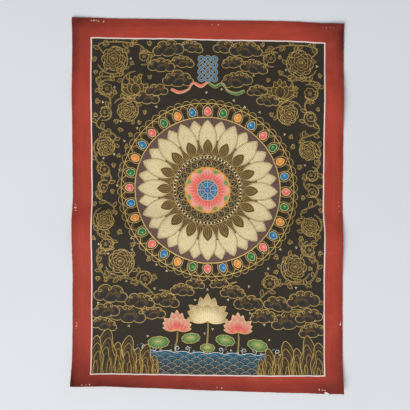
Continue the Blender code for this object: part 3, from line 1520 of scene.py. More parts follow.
    def finish(self) -> list[Piece]:
        """Makes all the pieces, up to three for each sub-assembly: its coats, lines and dots.

        Returns:
            The finished pieces.
        """
        self.lows = np.array([cover.min(axis=0) for cover in self.covers])
        self.highs = np.array([cover.max(axis=0) for cover in self.covers])
        makers = (
            ("coats", self.coat_mesh, None),
            ("lines", self.line_mesh, self.trees.brush),
            ("dots", self.dot_mesh, self.trees.dotter),
        )
        pieces = []
        for kind, make, tree in makers:
            for part, marks in self.marks[kind].items():
                meshes = {paint: make(found) for paint, found in marks.items()}
                if tree:
                    for paint, flat in meshes.items():
                        meshes[paint] = through_tree(flat, tree, self.materials[paint])
                pieces.append(self.join(f"{part}_{kind}", meshes))
        return pieces


# --- Motifs, each drawn upwards from its own origin ---


@dataclass(frozen=True)
class Motif:
    """Something that is painted at its placing."""

    painting: Painting
    placing: Placing


@dataclass(frozen=True)
class Leaf(Motif):
    """A pointed leaf, from the end of its stalk."""

    plump: float = 0.27  # half its width, as a share of its length
    veins: int = 2
    edge: float = 0.75  # width of its outline
    gold: float = 0.27  # how strongly it is washed

    def draw(self) -> None:
        """Draws it."""
        plump, line, put = self.plump, self.painting.line, self.placing.put
        left = put(bezier((0, 0), (-1.5 * plump, 0.2), (-1.2 * plump, 0.75), (0.06, 1.0)))
        right = put(bezier((0.06, 1.0), (0.7 * plump, 0.8), (1.5 * plump, 0.3), (0, 0)))
        rib = put(bezier((0, 0), (-0.05, 0.3), (0.02, 0.6), (0.05, 0.88), samples=10))
        line(left, self.edge)
        line(right, self.edge)
        line(rib, self.edge * 0.6, Paint.BRONZE)
        for place in np.linspace(0.25, 0.68, self.veins):
            for side in SIDES:
                out = side * plump * (0.7 - 0.7 * abs(place - 0.35))
                handles = (out * 0.4, place + 0.02), (out * 0.8, place + 0.1)
                vein = bezier((0, place), *handles, (out, place + 0.2), samples=6)
                line(put(vein), self.edge * 0.5, Paint.BRONZE)
        outline = np.vstack([left[:-1], right[:-1]])
        self.painting.shade(outline, [left, rib], 0.06 * self.placing.size + 0.4, self.gold)


@dataclass(frozen=True)
class Sprig(Motif):
    """Three leaves from one point, the middle one longest."""

    spread: float = 52.0  # degrees to each side leaf
    side_size: float = 0.74

    def draw(self) -> None:
        """Draws it."""
        Leaf(self.painting, self.placing).draw()
        for side in SIDES:
            turned = self.placing.on(0.0, 0.04, self.side_size, side * self.spread, flip=side < 0)
            Leaf(self.painting, turned, plump=0.3, veins=1, edge=0.65).draw()


@dataclass(frozen=True)
class Rosette(Motif):
    """A small open flower, seen from above. Its size is its radius."""

    petals: int = 7
    heart: float = 0.3  # its heart's radius
    gold: float = 0.35

    def draw(self) -> None:
        """Draws it."""
        line, put, petals = self.painting.line, self.placing.put, self.petals
        rim = put(lobed_ring(petals, 1.0, 0.2))
        line(closed(rim), 0.7, taper=0.9)
        line(closed(put(lobed_ring(petals, self.heart, 0.14, turn=180 / petals))), 0.55, taper=0.9)
        for index in range(petals):
            joint = spoke(self.heart + 0.02, 0.8, 2 * np.pi * (index + 0.5) / petals)
            line(put(joint), 0.5, Paint.BRONZE)
        self.painting.dot(put(ORIGIN), 1.6)
        self.painting.shade(rim, [closed(rim)], 0.15 * self.placing.size, self.gold)


@dataclass(frozen=True)
class Peony(Motif):
    """A full flower seen from the front, in rings of notched petals. Its size is its radius."""

    rings: tuple[tuple[float, int], ...] = ((0.36, 4), (0.6, 6), (0.82, 7), (1.0, 8))  # radius, petals
    ring_turn: float = 33.0  # degrees from one ring to the next
    gold: float = 0.35

    def draw(self) -> None:
        """Draws it."""
        line, put = self.painting.line, self.placing.put
        for side, turn in ((1, 0), (-1, 120), (1, 240)):
            line(self.placing.on(0.0, 0.0, 1.0, turn).put(tendril(0.42, side * 330, 1.2)), 0.7)
        inner = 0.0
        for index, (radius, petals) in enumerate(self.rings):
            turn = self.ring_turn * index
            outline = put(self.notched(radius, petals, turn))
            line(closed(outline), 0.85 if radius == 1.0 else 0.65, taper=0.95)
            for petal in range(petals):
                joint = spoke(inner + 0.04, radius * 0.8, np.radians(turn + 360.0 * (petal + 0.5) / petals))
                line(put(joint), 0.5, Paint.BRONZE)
                for off in (-0.3, -0.1, 0.1, 0.3):
                    angle = np.radians(turn + 360.0 * (petal + off) / petals)
                    rib = spoke(inner * 0.9, radius * (0.95 - abs(off) / 4), angle)
                    line(put(rib), 0.45, Paint.BRONZE, taper=0.2)
            self.painting.shade(outline, [closed(outline)], 0.08 * self.placing.size + 0.5, self.gold)
            inner = radius

    def notched(self, radius: float, petals: int, turn: float) -> Points:
        """A ring of petals whose edges have small notches.

        Args:
            radius: The ring's outer radius.
            petals: How many petals it has.
            turn: Degrees that it is turned by.

        Returns:
            The outline.
        """
        angle = np.linspace(0.0, 2 * np.pi, petals * 18, endpoint=False)
        lobe = np.abs(np.cos(petals * angle / 2)) ** 0.45
        notch = np.abs(np.cos(petals * 1.5 * angle)) ** 0.5
        reach = radius * (0.8 + 0.2 * lobe) * (0.95 + 0.05 * notch)
        return polar(reach, angle + np.radians(turn))


@dataclass(frozen=True)
class LotusFlower(Motif):
    """A lotus seen from the side, on the end of its stem. Its size is its height."""

    body: Paint | None = None
    gold: float = 0.4
    ribs: int = 2  # to each side of a petal's middle
    petals: tuple[tuple[float, float, float], ...] = (  # front to back: degrees from upright, length, width
        (0, 0.62, 0.25), (34, 0.70, 0.22), (-34, 0.70, 0.22), (66, 0.80, 0.18), (-66, 0.80, 0.18),
        (17, 0.90, 0.19), (-17, 0.90, 0.19), (50, 0.88, 0.17), (-50, 0.88, 0.17), (0, 1.0, 0.17),
        (84, 0.74, 0.13), (-84, 0.74, 0.13),
    )

    def draw(self) -> None:
        """Draws it."""
        painting, levels = self.painting, (Level.THIRD, Level.SECOND, Level.FIRST)
        paint = Paint.UMBER if self.body else Paint.BRONZE
        for index, (turn, length, plump) in enumerate(self.petals):
            place = self.placing.on(0.0, 0.0, length, turn)
            level = levels[index // 4] if self.body else Level.GROUND
            side = petal_side(plump / length)
            outline = place.put(doubled(side))
            painting.line(outline, 0.85, level=level, taper=0.8)
            for rib in range(-self.ribs, self.ribs + 1):
                bent = side[3:-3] * (rib / (self.ribs + 1.0), 1.0)
                painting.line(place.put(bent), 0.42, paint, level)
            if self.body:
                tone = fading(place.put(ORIGIN), -place.size / 1.7, -0.8)
                painting.coat(outline[:-1], self.body, level, tone)
            else:
                painting.shade(outline[:-1], [outline], 0.04 * self.placing.size + 0.6, self.gold)


@dataclass(frozen=True)
class Cloud(Motif):
    """A curling cloud with a lobed crown. Its size is its width."""

    lobes: tuple[float, ...]  # the rough widths of its crown's, from left to right
    foot: tuple[float, ...] = (1.0, 1.3, 0.9)  # and of those under it, from right to left
    height: float = 0.34  # of its crown's base line
    bulge: float = 0.36
    nested: tuple[Placing, ...] = (Placing(-0.05, 0.06, 0.62), Placing(0.06, 0.03, 0.34))  # crowns inside it
    tint: float = 0.3
    gold: float = 0.34

    def draw(self) -> None:
        """Draws it."""
        line, put = self.painting.line, self.placing.put
        crown, joints = self.crown()
        sole = self.sole()
        for lobe in crown:
            line(put(lobe), 1.15, taper=0.6)
            middle = (lobe[0] + lobe[-1]) / 2
            echo = middle + (lobe - middle) * 0.72 - (0.0, 0.012)
            line(put(echo[2:-2]), 0.5, Paint.BRONZE)
        for lobe in sole:
            line(put(lobe), 1.0, taper=0.5)
        hooks = [self.hook(joint, index) for index, joint in enumerate(joints)]
        for hook in hooks:
            line(put(hook), 0.85, taper=0.3)
        inner = [self.placing.on(place.across, place.up, place.size) for place in self.nested]
        within = [place.put(lobe) for place in inner for lobe in crown]
        for lobe in within:
            line(lobe, 0.6, Paint.BRONZE, taper=0.4)
        for place in inner:
            for hook in hooks:
                line(place.put(hook), 0.5, Paint.BRONZE, taper=0.3)
        lobes = [put(lobe) for lobe in (*crown, *sole)]
        outline = np.vstack([lobe[:-1] for lobe in lobes])
        edges = lobes + [put(hook) for hook in hooks] + within
        self.painting.shade(outline, edges, 0.03 * self.placing.size + 0.7, self.gold, self.tint)

    def crown(self) -> tuple[list[Points], Points]:
        """The lobes of the crown.

        Returns:
            The lobes from left to right, and the joints between them.
        """
        angle = np.pi * (1.0 - np.append(0.0, np.cumsum(self.lobes)) / sum(self.lobes))
        nodes = np.column_stack([0.5 * np.cos(angle), self.height * np.sin(angle)])
        return [arch(start, end, self.bulge) for start, end in zip(nodes, nodes[1:])], nodes[1:-1]

    def sole(self) -> list[Points]:
        """The shallow lobes under the cloud, from right to left.

        Returns:
            The lobes.
        """
        ends = np.append(0.0, np.cumsum(self.foot)) / sum(self.foot)
        nodes = np.column_stack([0.5 - ends, -0.03 * np.sin(np.pi * ends)])
        return [arch(start, end, 0.24) for start, end in zip(nodes, nodes[1:])]

    def hook(self, joint: Points, index: int) -> Points:
        """A hooked line that runs into the cloud from a joint of its crown.

        Args:
            joint: The joint.
            index: Its number from the left.

        Returns:
            The hook's line.
        """
        inward = np.degrees(np.arctan2(0.02 - joint[1], -joint[0]))
        side = 1.0 if joint[0] < 0 else -1.0
        return tendril(0.2 + 0.03 * (index % 2), side * 290.0, 1.5, start=inward) + joint


@dataclass(frozen=True)
class Wisp(Motif):
    """The trailing end of a cloud: flowing lines that run together. Its size is its length."""

    lines: int = 4
    spread: float = 0.16
    gold: float = 0.35

    def draw(self) -> None:
        """Draws it."""
        runs = []
        for index in range(self.lines):
            off = self.spread * (index / (self.lines - 1) - 0.5)
            run = bezier((0, off), (0.35, off + 0.14), (0.6, off * 0.7 - 0.12), (1.0, off * 0.15))
            runs.append(self.placing.put(run))
            paint = Paint.GOLD if index in (0, self.lines - 1) else Paint.BRONZE
            self.painting.line(runs[-1], 0.7, paint, taper=0.3)
        outline = between(runs[0][:-1], runs[-1])
        self.painting.shade(outline, [runs[0], runs[-1]], 0.03 * self.placing.size + 0.5, self.gold)


@dataclass(frozen=True)
class Ribbon:
    """A silk ribbon along a path, with a fold line."""

    painting: Painting
    path: Points
    body: Paint
    width: float = 6.0

    def draw(self) -> None:
        """Draws it."""
        path = resample(self.path, 1.5)
        waves = np.sin(np.pi * (1.6 * np.linspace(0.0, 1.0, len(path)) + 0.15)) ** 2
        aside = beside(np.gradient(path, axis=0)) * (0.5 * self.width * (0.55 + 0.45 * waves)[:, None])
        left = path + aside
        outline = between(left, path - aside)

        def sheen(points: Points) -> np.ndarray:
            """Lightest along its upper side."""
            return 0.75 - distance_to(points, left) / 2.4

        self.painting.line(closed(outline), 0.8, level=Level.FIRST, taper=0.9)
        self.painting.line(path + aside * 0.25, 0.45, Paint.CREAM, Level.FIRST)
        self.painting.coat(outline, self.body, tone=sheen, spacing=1.8)


@dataclass(frozen=True)
class EndlessKnot(Motif):
    """A closed plait: one band that crosses over and under itself. Its size is half its height."""

    columns: int = 3
    rows: int = 4
    band: float = 0.155  # width of the band, as a share of its size
    edge: float = 0.85  # width of its outline
    bridge: int = 3  # the band's points to each side of a crossing
    strip: int = 12  # the band's points in one strip, which laps over the next by two more
    body: Paint = Paint.BLUE

    def draw(self) -> None:
        """Draws the bridges where the band passes over itself, then the whole band in strips."""
        painting, path = self.painting, self.path()
        count = len(path)
        aside = beside(np.roll(path, -1, axis=0) - np.roll(path, 1, axis=0)) * self.band / 2

        def sides(run: np.ndarray) -> list[Points]:
            """The band's two sides along a run of its points."""
            return [self.placing.put(path[run] + sign * aside[run]) for sign in SIDES]

        for middle in self.overpasses(path):
            bridge = sides(np.arange(middle - self.bridge, middle + self.bridge + 1) % count)
            for side in bridge:
                longer = np.vstack([1.12 * side[0] - 0.12 * side[1], side, 1.12 * side[-1] - 0.12 * side[-2]])
                painting.line(longer, self.edge, level=Level.SECOND, taper=0.95)
            painting.coat(between(*bridge), self.body, spacing=2.0)
        for side in sides(np.arange(count)):
            painting.line(closed(side), self.edge, level=Level.FIRST, taper=1.0)
        for start in range(0, count, self.strip):
            strip = sides(np.arange(start, start + self.strip + 2) % count)
            painting.coat(between(*strip), self.body, spacing=2.0)

    def path(self) -> Points:
        """The band's middle line: a track that bounces off the sides of a rectangle.

        Returns:
            The closed line, not repeating its first point.
        """
        steps = np.arange(0.0, 2 * self.columns * self.rows, 0.125)
        across = 1.0 - np.abs((steps / self.columns) % 2 - 1.0) * 2
        up = 1.0 - np.abs(((steps + 0.5) / self.rows) % 2 - 1.0) * 2
        soft = np.column_stack([across * self.columns / self.rows, up])
        for _ in range(4):
            soft = (np.roll(soft, 1, axis=0) + 2 * soft + np.roll(soft, -1, axis=0)) / 4
        return soft

    def overpasses(self, path: Points) -> list[int]:
        """Where the band passes over itself, every second crossing along it.

        Args:
            path: The band's middle line.

        Returns:
            The numbers of the path's points there.
        """
        count = len(path)
        gaps = np.hypot(*(path[:, None, :] - path[None, :, :]).transpose(2, 0, 1))
        apart = np.abs(np.arange(count)[:, None] - np.arange(count)[None, :])
        apart = np.minimum(apart, count - apart)
        crossing = (gaps < 0.6 * gaps[0, 1] + 1e-6) & (apart > 6)
        places = np.flatnonzero(crossing.any(axis=1))
        groups = np.split(places, np.flatnonzero(np.diff(places) > 2) + 1)
        return [int(round(group.mean())) for group in groups if len(group)][::2]


# --- Sub-assemblies of the ornament ---


@dataclass(frozen=True)
class LotusMedallion:
    """A wheel in a lotus of cream petals, in a ring of jewelled petals. Its sizes are radii."""

    painting: Painting
    middle: tuple[float, float] = (0.0, 30.0)
    wheel: float = 21.0
    heart: float = 45.0
    band: float = 64.0
    petal_base: float = 70.0
    petal_tip: float = 143.0
    veil: float = 147.5
    rim: float = 176.0
    crest: float = 183.0
    spokes: int = 8
    heart_petals: int = 8
    tongues: int = 24
    pearls: int = 58
    petals: int = 16
    petal_lines: int = 6  # to each side of a petal's middle
    specks: int = 34  # in each petal
    rays: int = 150
    jewels: int = 32
    colours: tuple[Paint, ...] = (Paint.PINK, Paint.GREEN, Paint.ORANGE, Paint.BLUE)

    def paint(self) -> None:
        """Paints it, from its middle outwards."""
        self.painting.part = "medallion"
        self.paint_wheel()
        self.paint_heart()
        self.paint_band()
        self.paint_petals()
        self.paint_veil()
        self.paint_ring()
        self.paint_crest()

    def around(self, radius: float, angle: float) -> Points:
        """The point at a radius and an angle in degrees from the top, clockwise."""
        turn = np.radians(angle)
        return np.array(self.middle) + (radius * np.sin(turn), radius * np.cos(turn))

    def outward(self, radius: float, angle: float, size: float) -> Placing:
        """A placing that starts at a radius and an angle, and points outwards."""
        return Placing(*self.around(radius, angle), size, -angle)

    def ring_line(self, radius: float) -> Points:
        """A circle round the medallion's middle, as an outline."""
        return circle(radius, 144) + self.middle

    def ruled(self, radius: float, width: float, level: Level = Level.GROUND) -> Points:
        """Draws a circle round the medallion's middle.

        Args:
            radius: Its radius.
            width: Its line's width.
            level: What it lies on.

        Returns:
            Its outline.
        """
        outline = self.ring_line(radius)
        self.painting.line(closed(outline), width, level=level, taper=1.0)
        return outline

    def paint_wheel(self) -> None:
        """The wheel in the middle, with a jewel on each spoke."""
        line, dot, top = self.painting.line, self.painting.dot, Level.FIFTH
        outline = self.ruled(self.wheel, 1.5, top)
        self.ruled(self.wheel * 0.76, 1.0, top)
        self.ruled(self.wheel * 0.3, 1.0, top)
        for angle in turns(self.spokes):
            half = angle + 180.0 / self.spokes
            ends = [self.around(self.wheel * share, angle) for share in (0.3, 0.76)]
            line(np.array(ends), 1.7, level=top, taper=0.8)
            dot(self.around(self.wheel * 0.88, angle), 2.0, Paint.CREAM, top)
            dot(self.around(self.wheel * 0.88, half), 1.5, Paint.GOLD, top)
            dot(self.around(self.wheel * 0.56, half), 1.8, Paint.ORANGE, top)
        dot(self.around(0.0, 0.0), 4.6, Paint.PINK, top)
        self.painting.coat(outline, Paint.BLUE, top)

    def paint_heart(self) -> None:
        """The small coloured lotus round the wheel."""
        line, side = self.painting.line, petal_side(0.46)
        start = self.wheel * 0.8
        tone = fading(np.array(self.middle), -self.heart / 2.2, -1.45)
        for paint, level, offset in ((Paint.PINK, Level.FOURTH, 0.0), (Paint.GREEN, Level.THIRD, 0.5)):
            for angle in turns(self.heart_petals, offset):
                place = self.outward(start, angle, self.heart - start)
                outline = place.put(doubled(side))
                line(outline, 1.0, level=level, taper=0.8)
                for share in (-0.5, 0.0, 0.5):
                    line(place.put(side[4:-4] * (share, 1.0)), 0.5, Paint.CREAM, level)
                self.painting.coat(outline[:-1], paint, level, tone)
        collar = self.ruled(self.heart + 1.5, 1.0, Level.THIRD)
        self.painting.coat(collar, Paint.ORANGE, Level.SECOND)

    def paint_band(self) -> None:
        """The dark band of gold tongues and seeds round the small lotus, in a string of pearls."""
        painting, third, petal = self.painting, Level.THIRD, doubled(petal_side(0.42))
        for index, angle in enumerate(turns(self.tongues)):
            place = self.outward(self.heart + 1.8, angle, self.band - self.heart - 3.0)
            outline = place.put(petal)
            painting.line(outline, 0.8, level=third, taper=0.9)
            painting.line(place.put(petal * (0.5, 0.55) + (0.0, 0.1)), 0.5, level=third, taper=0.9)
            seed = self.around(self.band - 3.2, angle + 180.0 / self.tongues)
            painting.dot(seed, 2.4, self.colours[index % 4], third)
            painting.coat(outline[:-1], Paint.MAUVE, third, even(1.0))
        painting.coat(self.ruled(self.band, 0.9, third), Paint.MAUVE, Level.SECOND, even(1.0))
        middle = (self.band + self.petal_base) / 2
        pearls = [self.around(middle, angle) for angle in turns(self.pearls)]
        painting.dot(np.array(pearls), 3.4, Paint.CREAM, Level.FOURTH)
        painting.coat(self.ruled(self.petal_base, 1.0, Level.FOURTH), Paint.MAUVE, third, even(1.0))

    def paint_petals(self) -> None:
        """The large cream petals, in two tiers."""
        length = self.petal_tip - self.petal_base
        plump = np.pi * self.petal_tip * 0.86 / self.petals / length * 0.78
        for level, offset in ((Level.SECOND, 0.0), (Level.FIRST, 0.5)):
            for angle in turns(self.petals, offset):
                self.paint_petal(self.outward(self.petal_base, angle, length), plump, level)

    def paint_petal(self, place: Placing, plump: float, level: Level) -> None:
        """One cream petal with its fine lines and its brown and gold foot.

        Args:
            place: Its placing, from its base to its tip.
            plump: Half its width, as a share of its length.
            level: What it lies on.
        """
        painting, line = self.painting, self.painting.line
        side = petal_side(plump, 26)
        petal = doubled(side)
        outline = place.put(petal)
        line(outline, 0.9, Paint.UMBER, level, taper=0.9)
        line(place.put((petal - (0, 0.5)) * (0.9, 0.94) + (0, 0.5))[6:-6], 0.42, Paint.UMBER, level)
        for index in range(-self.petal_lines, self.petal_lines + 1):
            start = painting.random.integers(2, 5)
            fine = side[start : -2 - abs(index) // 2] * (index / (self.petal_lines + 0.8), 1.0)
            line(place.put(fine), 0.46, Paint.UMBER, level, taper=0.5)
        specks = painting.random.uniform((-0.8, 0.42), (0.8, 0.93), (self.specks, 2))
        specks[:, 0] *= plump * np.sin(np.pi * specks[:, 1] ** 1.6) ** 0.8
        painting.dot(place.put(specks), 0.95, Paint.UMBER, level)
        foot = doubled(petal_side(plump * 0.9, 14)) * (0.6, 0.46)
        flame = place.put(foot)
        line(flame, 0.8, level=level, taper=0.8)
        for share in (-0.6, -0.2, 0.2, 0.6):
            line(place.put(foot[:14] * (share, 0.86)), 0.45, level=level, taper=0.4)
        painting.coat(flame[:-1], Paint.UMBER, level)
        edge, base = resample(outline, 2.0), place.put(ORIGIN)

        def tone(points: Points) -> np.ndarray:
            """Darkest along the petal's edge and at its base."""
            from_base = np.hypot(*(points - base).T) / (0.25 * place.size)
            return 0.6 * np.exp(-distance_to(points, edge) / 2.0) + 0.6 * np.exp(-from_base)

        painting.coat(outline[:-1], Paint.CREAM, level, tone, spacing=3.2)

    def paint_veil(self) -> None:
        """The mauve disc behind the cream petals, with fine rays between their tips."""
        painting = self.painting
        for index in range(self.rays):
            angle = 360.0 * (index + painting.random.uniform(-0.2, 0.2)) / self.rays
            ends = (self.petal_tip - 36, 0.0), (self.petal_tip - 20, 0.5), (self.veil - 1, 0.0)
            ray = np.array([self.around(radius, angle + bend) for radius, bend in ends])
            painting.line(ray, 0.5, Paint.MAUVE_LINE)
        painting.coat(self.ruled(self.veil, 1.0), Paint.MAUVE, Level.GROUND, spacing=4.0)

    def paint_ring(self) -> None:
        """The ring of pointed petals with a coloured jewel in each, and the tips of more behind them."""
        foot = self.veil + 1.2
        height = self.rim - foot - 1.0
        for offset, size in ((0.0, 1.0), (0.5, 1.02)):
            for index, angle in enumerate(turns(self.jewels, offset)):
                colour = None if offset else self.colours[index % len(self.colours)]
                self.paint_jewel(self.outward(foot, angle, height * size), colour)
        rim = self.ruled(self.rim, 1.3)
        self.ruled(self.veil + 0.8, 1.3)
        self.painting.cover(rim)

    def paint_jewel(self, place: Placing, colour: Paint | None) -> None:
        """One petal of the ring.

        Args:
            place: Its placing, from its foot to its tip.
            colour: Its jewel's colour, if it has a jewel.
        """
        painting = self.painting
        petal = doubled(bezier((-0.28, 0.0), (-0.5, 0.3), (-0.42, 0.74), (0.0, 1.0), samples=12))
        outline = place.put(petal)
        painting.line(outline, 1.1, taper=0.9)
        painting.line(place.put(petal * (0.74, 0.8) + (0.0, 0.05)), 0.7, Paint.BRONZE, taper=0.9)
        if colour:
            side = bezier((0.0, 0.08), (-0.4, 0.14), (-0.34, 0.62), (0.0, 0.76), samples=10)
            drop, light = place.put(doubled(side)[:-1]), place.put((-0.06, 0.42))
            painting.line(closed(drop), 0.8, Paint.CREAM, Level.FIRST, taper=1.0)
            painting.dot(light, 1.6, Paint.CREAM, Level.FIRST)
            painting.coat(drop, colour, tone=fading(light, 0.2 * place.size, 0.75), spacing=1.8)
        painting.shade(outline, [outline], 1.6, 0.5)

    def paint_crest(self) -> None:
        """The border of small tongues round the ring."""
        count = self.jewels * 2
        for index in range(count):
            ends = [self.around(self.rim + 1.2, 360.0 * (index + share) / count) for share in (0.04, 0.96)]
            lobe, angle = arch(*ends, 0.42), 360.0 * (index + 0.5) / count
            self.painting.line(lobe, 0.8, taper=0.7)
            rib = [self.around(radius, angle) for radius in (self.rim + 1.5, self.crest - 3.4)]
            self.painting.line(np.array(rib), 0.7, Paint.BRONZE)
            self.painting.shade(lobe, [lobe], 1.6, 0.45, covers=False)
        self.painting.cover(self.ring_line(self.crest - 0.6))


class Bloom(Enum):
    """What a scroll of the vine ends in."""

    PEONY = "peony"
    LOTUS = "lotus"
    ROSETTE = "rosette"


class Scroll(NamedTuple):
    """One round branch of the vine, on the picture's left side."""

    across: float  # its middle, where its bloom is
    up: float
    bloom: Bloom
    size: float  # of its bloom
    start: float  # degrees, where the branch leaves the stem
    sweep: float  # degrees that it goes round, positive anticlockwise


@dataclass(frozen=True)
class VineScrolls:
    """The two flowering vines beside the medallion."""

    painting: Painting
    stem: Table = (  # the left vine's main stem, upwards
        (-96, -196), (-146, -158), (-206, -152), (-224, -112), (-190, -84), (-222, -62), (-190, -14),
        (-226, 12), (-196, 48), (-228, 92), (-186, 132), (-226, 158), (-196, 204), (-226, 250),
        (-170, 262), (-222, 320), (-140, 322), (-118, 282),
    )
    scrolls: tuple[Scroll, ...] = (
        Scroll(-190, 291, Bloom.PEONY, 25.0, 200, 260),
        Scroll(-146, 236, Bloom.LOTUS, 40.0, 90, 250),
        Scroll(-205, 229, Bloom.ROSETTE, 11.0, 60, 270),
        Scroll(-163, 186, Bloom.PEONY, 20.0, 150, -250),
        Scroll(-210, 182, Bloom.ROSETTE, 9.0, 250, 250),
        Scroll(-206, 112, Bloom.PEONY, 17.0, 230, -260),
        Scroll(-209, 66, Bloom.ROSETTE, 9.0, 100, 240),
        Scroll(-212, 30, Bloom.ROSETTE, 8.0, 60, 240),
        Scroll(-207, -36, Bloom.PEONY, 17.0, 110, 260),
        Scroll(-206, -86, Bloom.ROSETTE, 10.0, 80, -250),
        Scroll(-176, -121, Bloom.PEONY, 24.0, 200, 260),
        Scroll(-126, -156, Bloom.ROSETTE, 11.0, 190, -240),
        Scroll(-128, 300, Bloom.ROSETTE, 10.0, 250, 240),
    )
    leaf: float = 13.5
    spacing: float = 20.0  # between leaves along a branch
    medallion: float = 112.0  # half the width of the strip that the sprigs leave to the medallion
    corners: Table = ((-228, -165), (228, 328))  # the lowest and the highest of where sprigs may be

    def paint(self) -> None:
        """Paints both vines, and small sprigs on the free ground beside them."""
        self.painting.part = "vines"
        random = self.painting.random
        for side in SIDES:
            places = [
                Placing(scroll.across, scroll.up, scroll.size).settled(random, 1.6, 0.05, 14).on_side(side)
                for scroll in self.scrolls
            ]
            for place, scroll in zip(places, self.scrolls):
                self.paint_bloom(place, scroll)
            for place, scroll in zip(places, self.scrolls):
                self.paint_branch(place, scroll, side)
            stem = curve_through(self.stem) * (float(-side), 1.0)
            self.paint_leaves(stem, 1.0)
            self.paint_stem(stem, 2.6, 1.2)
        free = self.painting.scatter(self.corners, tries=2600, room=6.0, gap=20.0, middle=self.medallion)
        for place in free:
            turn = random.uniform(0, 360)
            Sprig(self.painting, Placing(*place, random.uniform(7.5, 10.0), turn)).draw()

    def paint_bloom(self, place: Placing, scroll: Scroll) -> None:
        """Paints the flower of a scroll.

        Args:
            place: The flower's placing.
            scroll: The scroll.
        """
        if scroll.bloom is Bloom.PEONY:
            Peony(self.painting, place).draw()
        elif scroll.bloom is Bloom.LOTUS:
            LotusFlower(self.painting, place.on(0.0, -0.45)).draw()
        else:
            Rosette(self.painting, place, petals=7 if scroll.size > 9.5 else 6).draw()

    def paint_branch(self, place: Placing, scroll: Scroll, side: int) -> None:
        """Paints the round branch of a scroll, with its leaves.

        Args:
            place: The flower's placing.
            scroll: The scroll.
            side: -1 for the left vine and 1 for the right one.
        """
        share = np.linspace(0.0, 1.0, 50)
        half = scroll.size * (0.55 if scroll.bloom is Bloom.LOTUS else 1.0)
        branch = polar(half + 8.0 - 7.0 * share, np.radians(scroll.start + scroll.sweep * share))
        branch = branch * (-side, 1.0) + (place.across, place.up)
        self.paint_leaves(branch, 0.85)
        self.paint_stem(branch, 1.9, 0.8)

    def paint_stem(self, line: Points, thick: float, thin: float) -> None:
        """Paints a stem as two lines with the ground between them.

        Args:
            line: The stem's middle line.
            thick: Its width at its root.
            thin: Its width at its end.
        """
        line = resample(line, 2.0)
        share = np.linspace(0.0, 1.0, len(line))
        rounded = np.sqrt(np.minimum(1.0, 16.0 * np.minimum(share, 1.0 - share)))
        aside = beside(np.gradient(line, axis=0)) * ((thick + (thin - thick) * share) / 2 * rounded)[:, None]
        for side in (line - aside, line + aside):
            self.painting.line(side, 0.6, taper=0.7)
        self.painting.cover(between(line - aside, line + aside))

    def paint_leaves(self, line: Points, size: float) -> None:
        """Sets leaves along a stem, on one side and the other.

        Args:
            line: The stem's middle line.
            size: Their size, as a share of the usual one.
        """
        random = self.painting.random
        places = resample(line, self.spacing * size)
        ways = np.degrees(np.arctan2(*np.gradient(places, axis=0).T[::-1]))
        for index in range(1, len(places) - 1):
            side = 1 if index % 2 else -1
            length = self.leaf * size * random.uniform(0.85, 1.15)
            turn = ways[index] - 90 + side * random.uniform(42, 62)
            motif = Leaf if index % 3 else Sprig
            motif(self.painting, Placing(*places[index], length, turn, side < 0)).draw()


@dataclass(frozen=True)
class Clouds:
    """Clouds on both sides of the picture, each with a wisp or none."""

    painting: Painting
    clouds: tuple[Placing, ...]  # on the picture's left, from the front to the back

    def paint(self) -> None:
        """Paints them."""
        self.painting.part = "clouds"
        self.paint_clouds()

    def paint_clouds(self) -> None:
        """Paints the clouds, each a little off its place as a hand would put it."""
        random = self.painting.random
        for side in SIDES:
            for place in self.clouds:
                moved = place.settled(random, 2.5, 0.07, 9).on_side(side)
                lobes = tuple(random.uniform(0.75, 1.3, random.integers(4, 7)))
                Cloud(self.painting, moved, lobes).draw()
                if random.uniform() < 0.55:
                    trail = moved.on(-0.42, 0.02, 0.62, 176.0, flip=bool(random.integers(0, 2)))
                    Wisp(self.painting, trail).draw()


@dataclass(frozen=True)
class LowClouds(Clouds):
    """The clouds at the panel's sides, under the vines."""

    clouds: tuple[Placing, ...] = placings(
        (-196, -196, 62), (-140, -206, 58), (-208, -228, 54), (-164, -238, 64), (-112, -232, 48),
        (-214, -258, 52), (-52, -182, 46), (-84, -202, 54), (-24, -164, 38),
    )


@dataclass(frozen=True)
class Sky(Clouds):
    """The endless knot with its ribbons, between clouds, over the medallion."""

    clouds: tuple[Placing, ...] = placings(
        (-62, 244, 58), (-94, 272, 54), (-52, 282, 46), (-78, 306, 60), (-34, 312, 44), (-102, 226, 40),
        (-124, 206, 44),
    )
    knot: Placing = Placing(0.0, 276.0, 27.0)
    ribbon: Table = ((0, 249), (14, 240), (30, 246), (40, 232), (58, 226), (74, 232))

    def paint(self) -> None:
        """Paints them."""
        self.painting.part = "sky"
        EndlessKnot(self.painting, self.knot).draw()
        for side, colour in zip(SIDES, (Paint.PINK, Paint.GREEN)):
            Ribbon(self.painting, curve_through(self.ribbon) * (float(side), 1.0), colour).draw()
        self.paint_clouds()


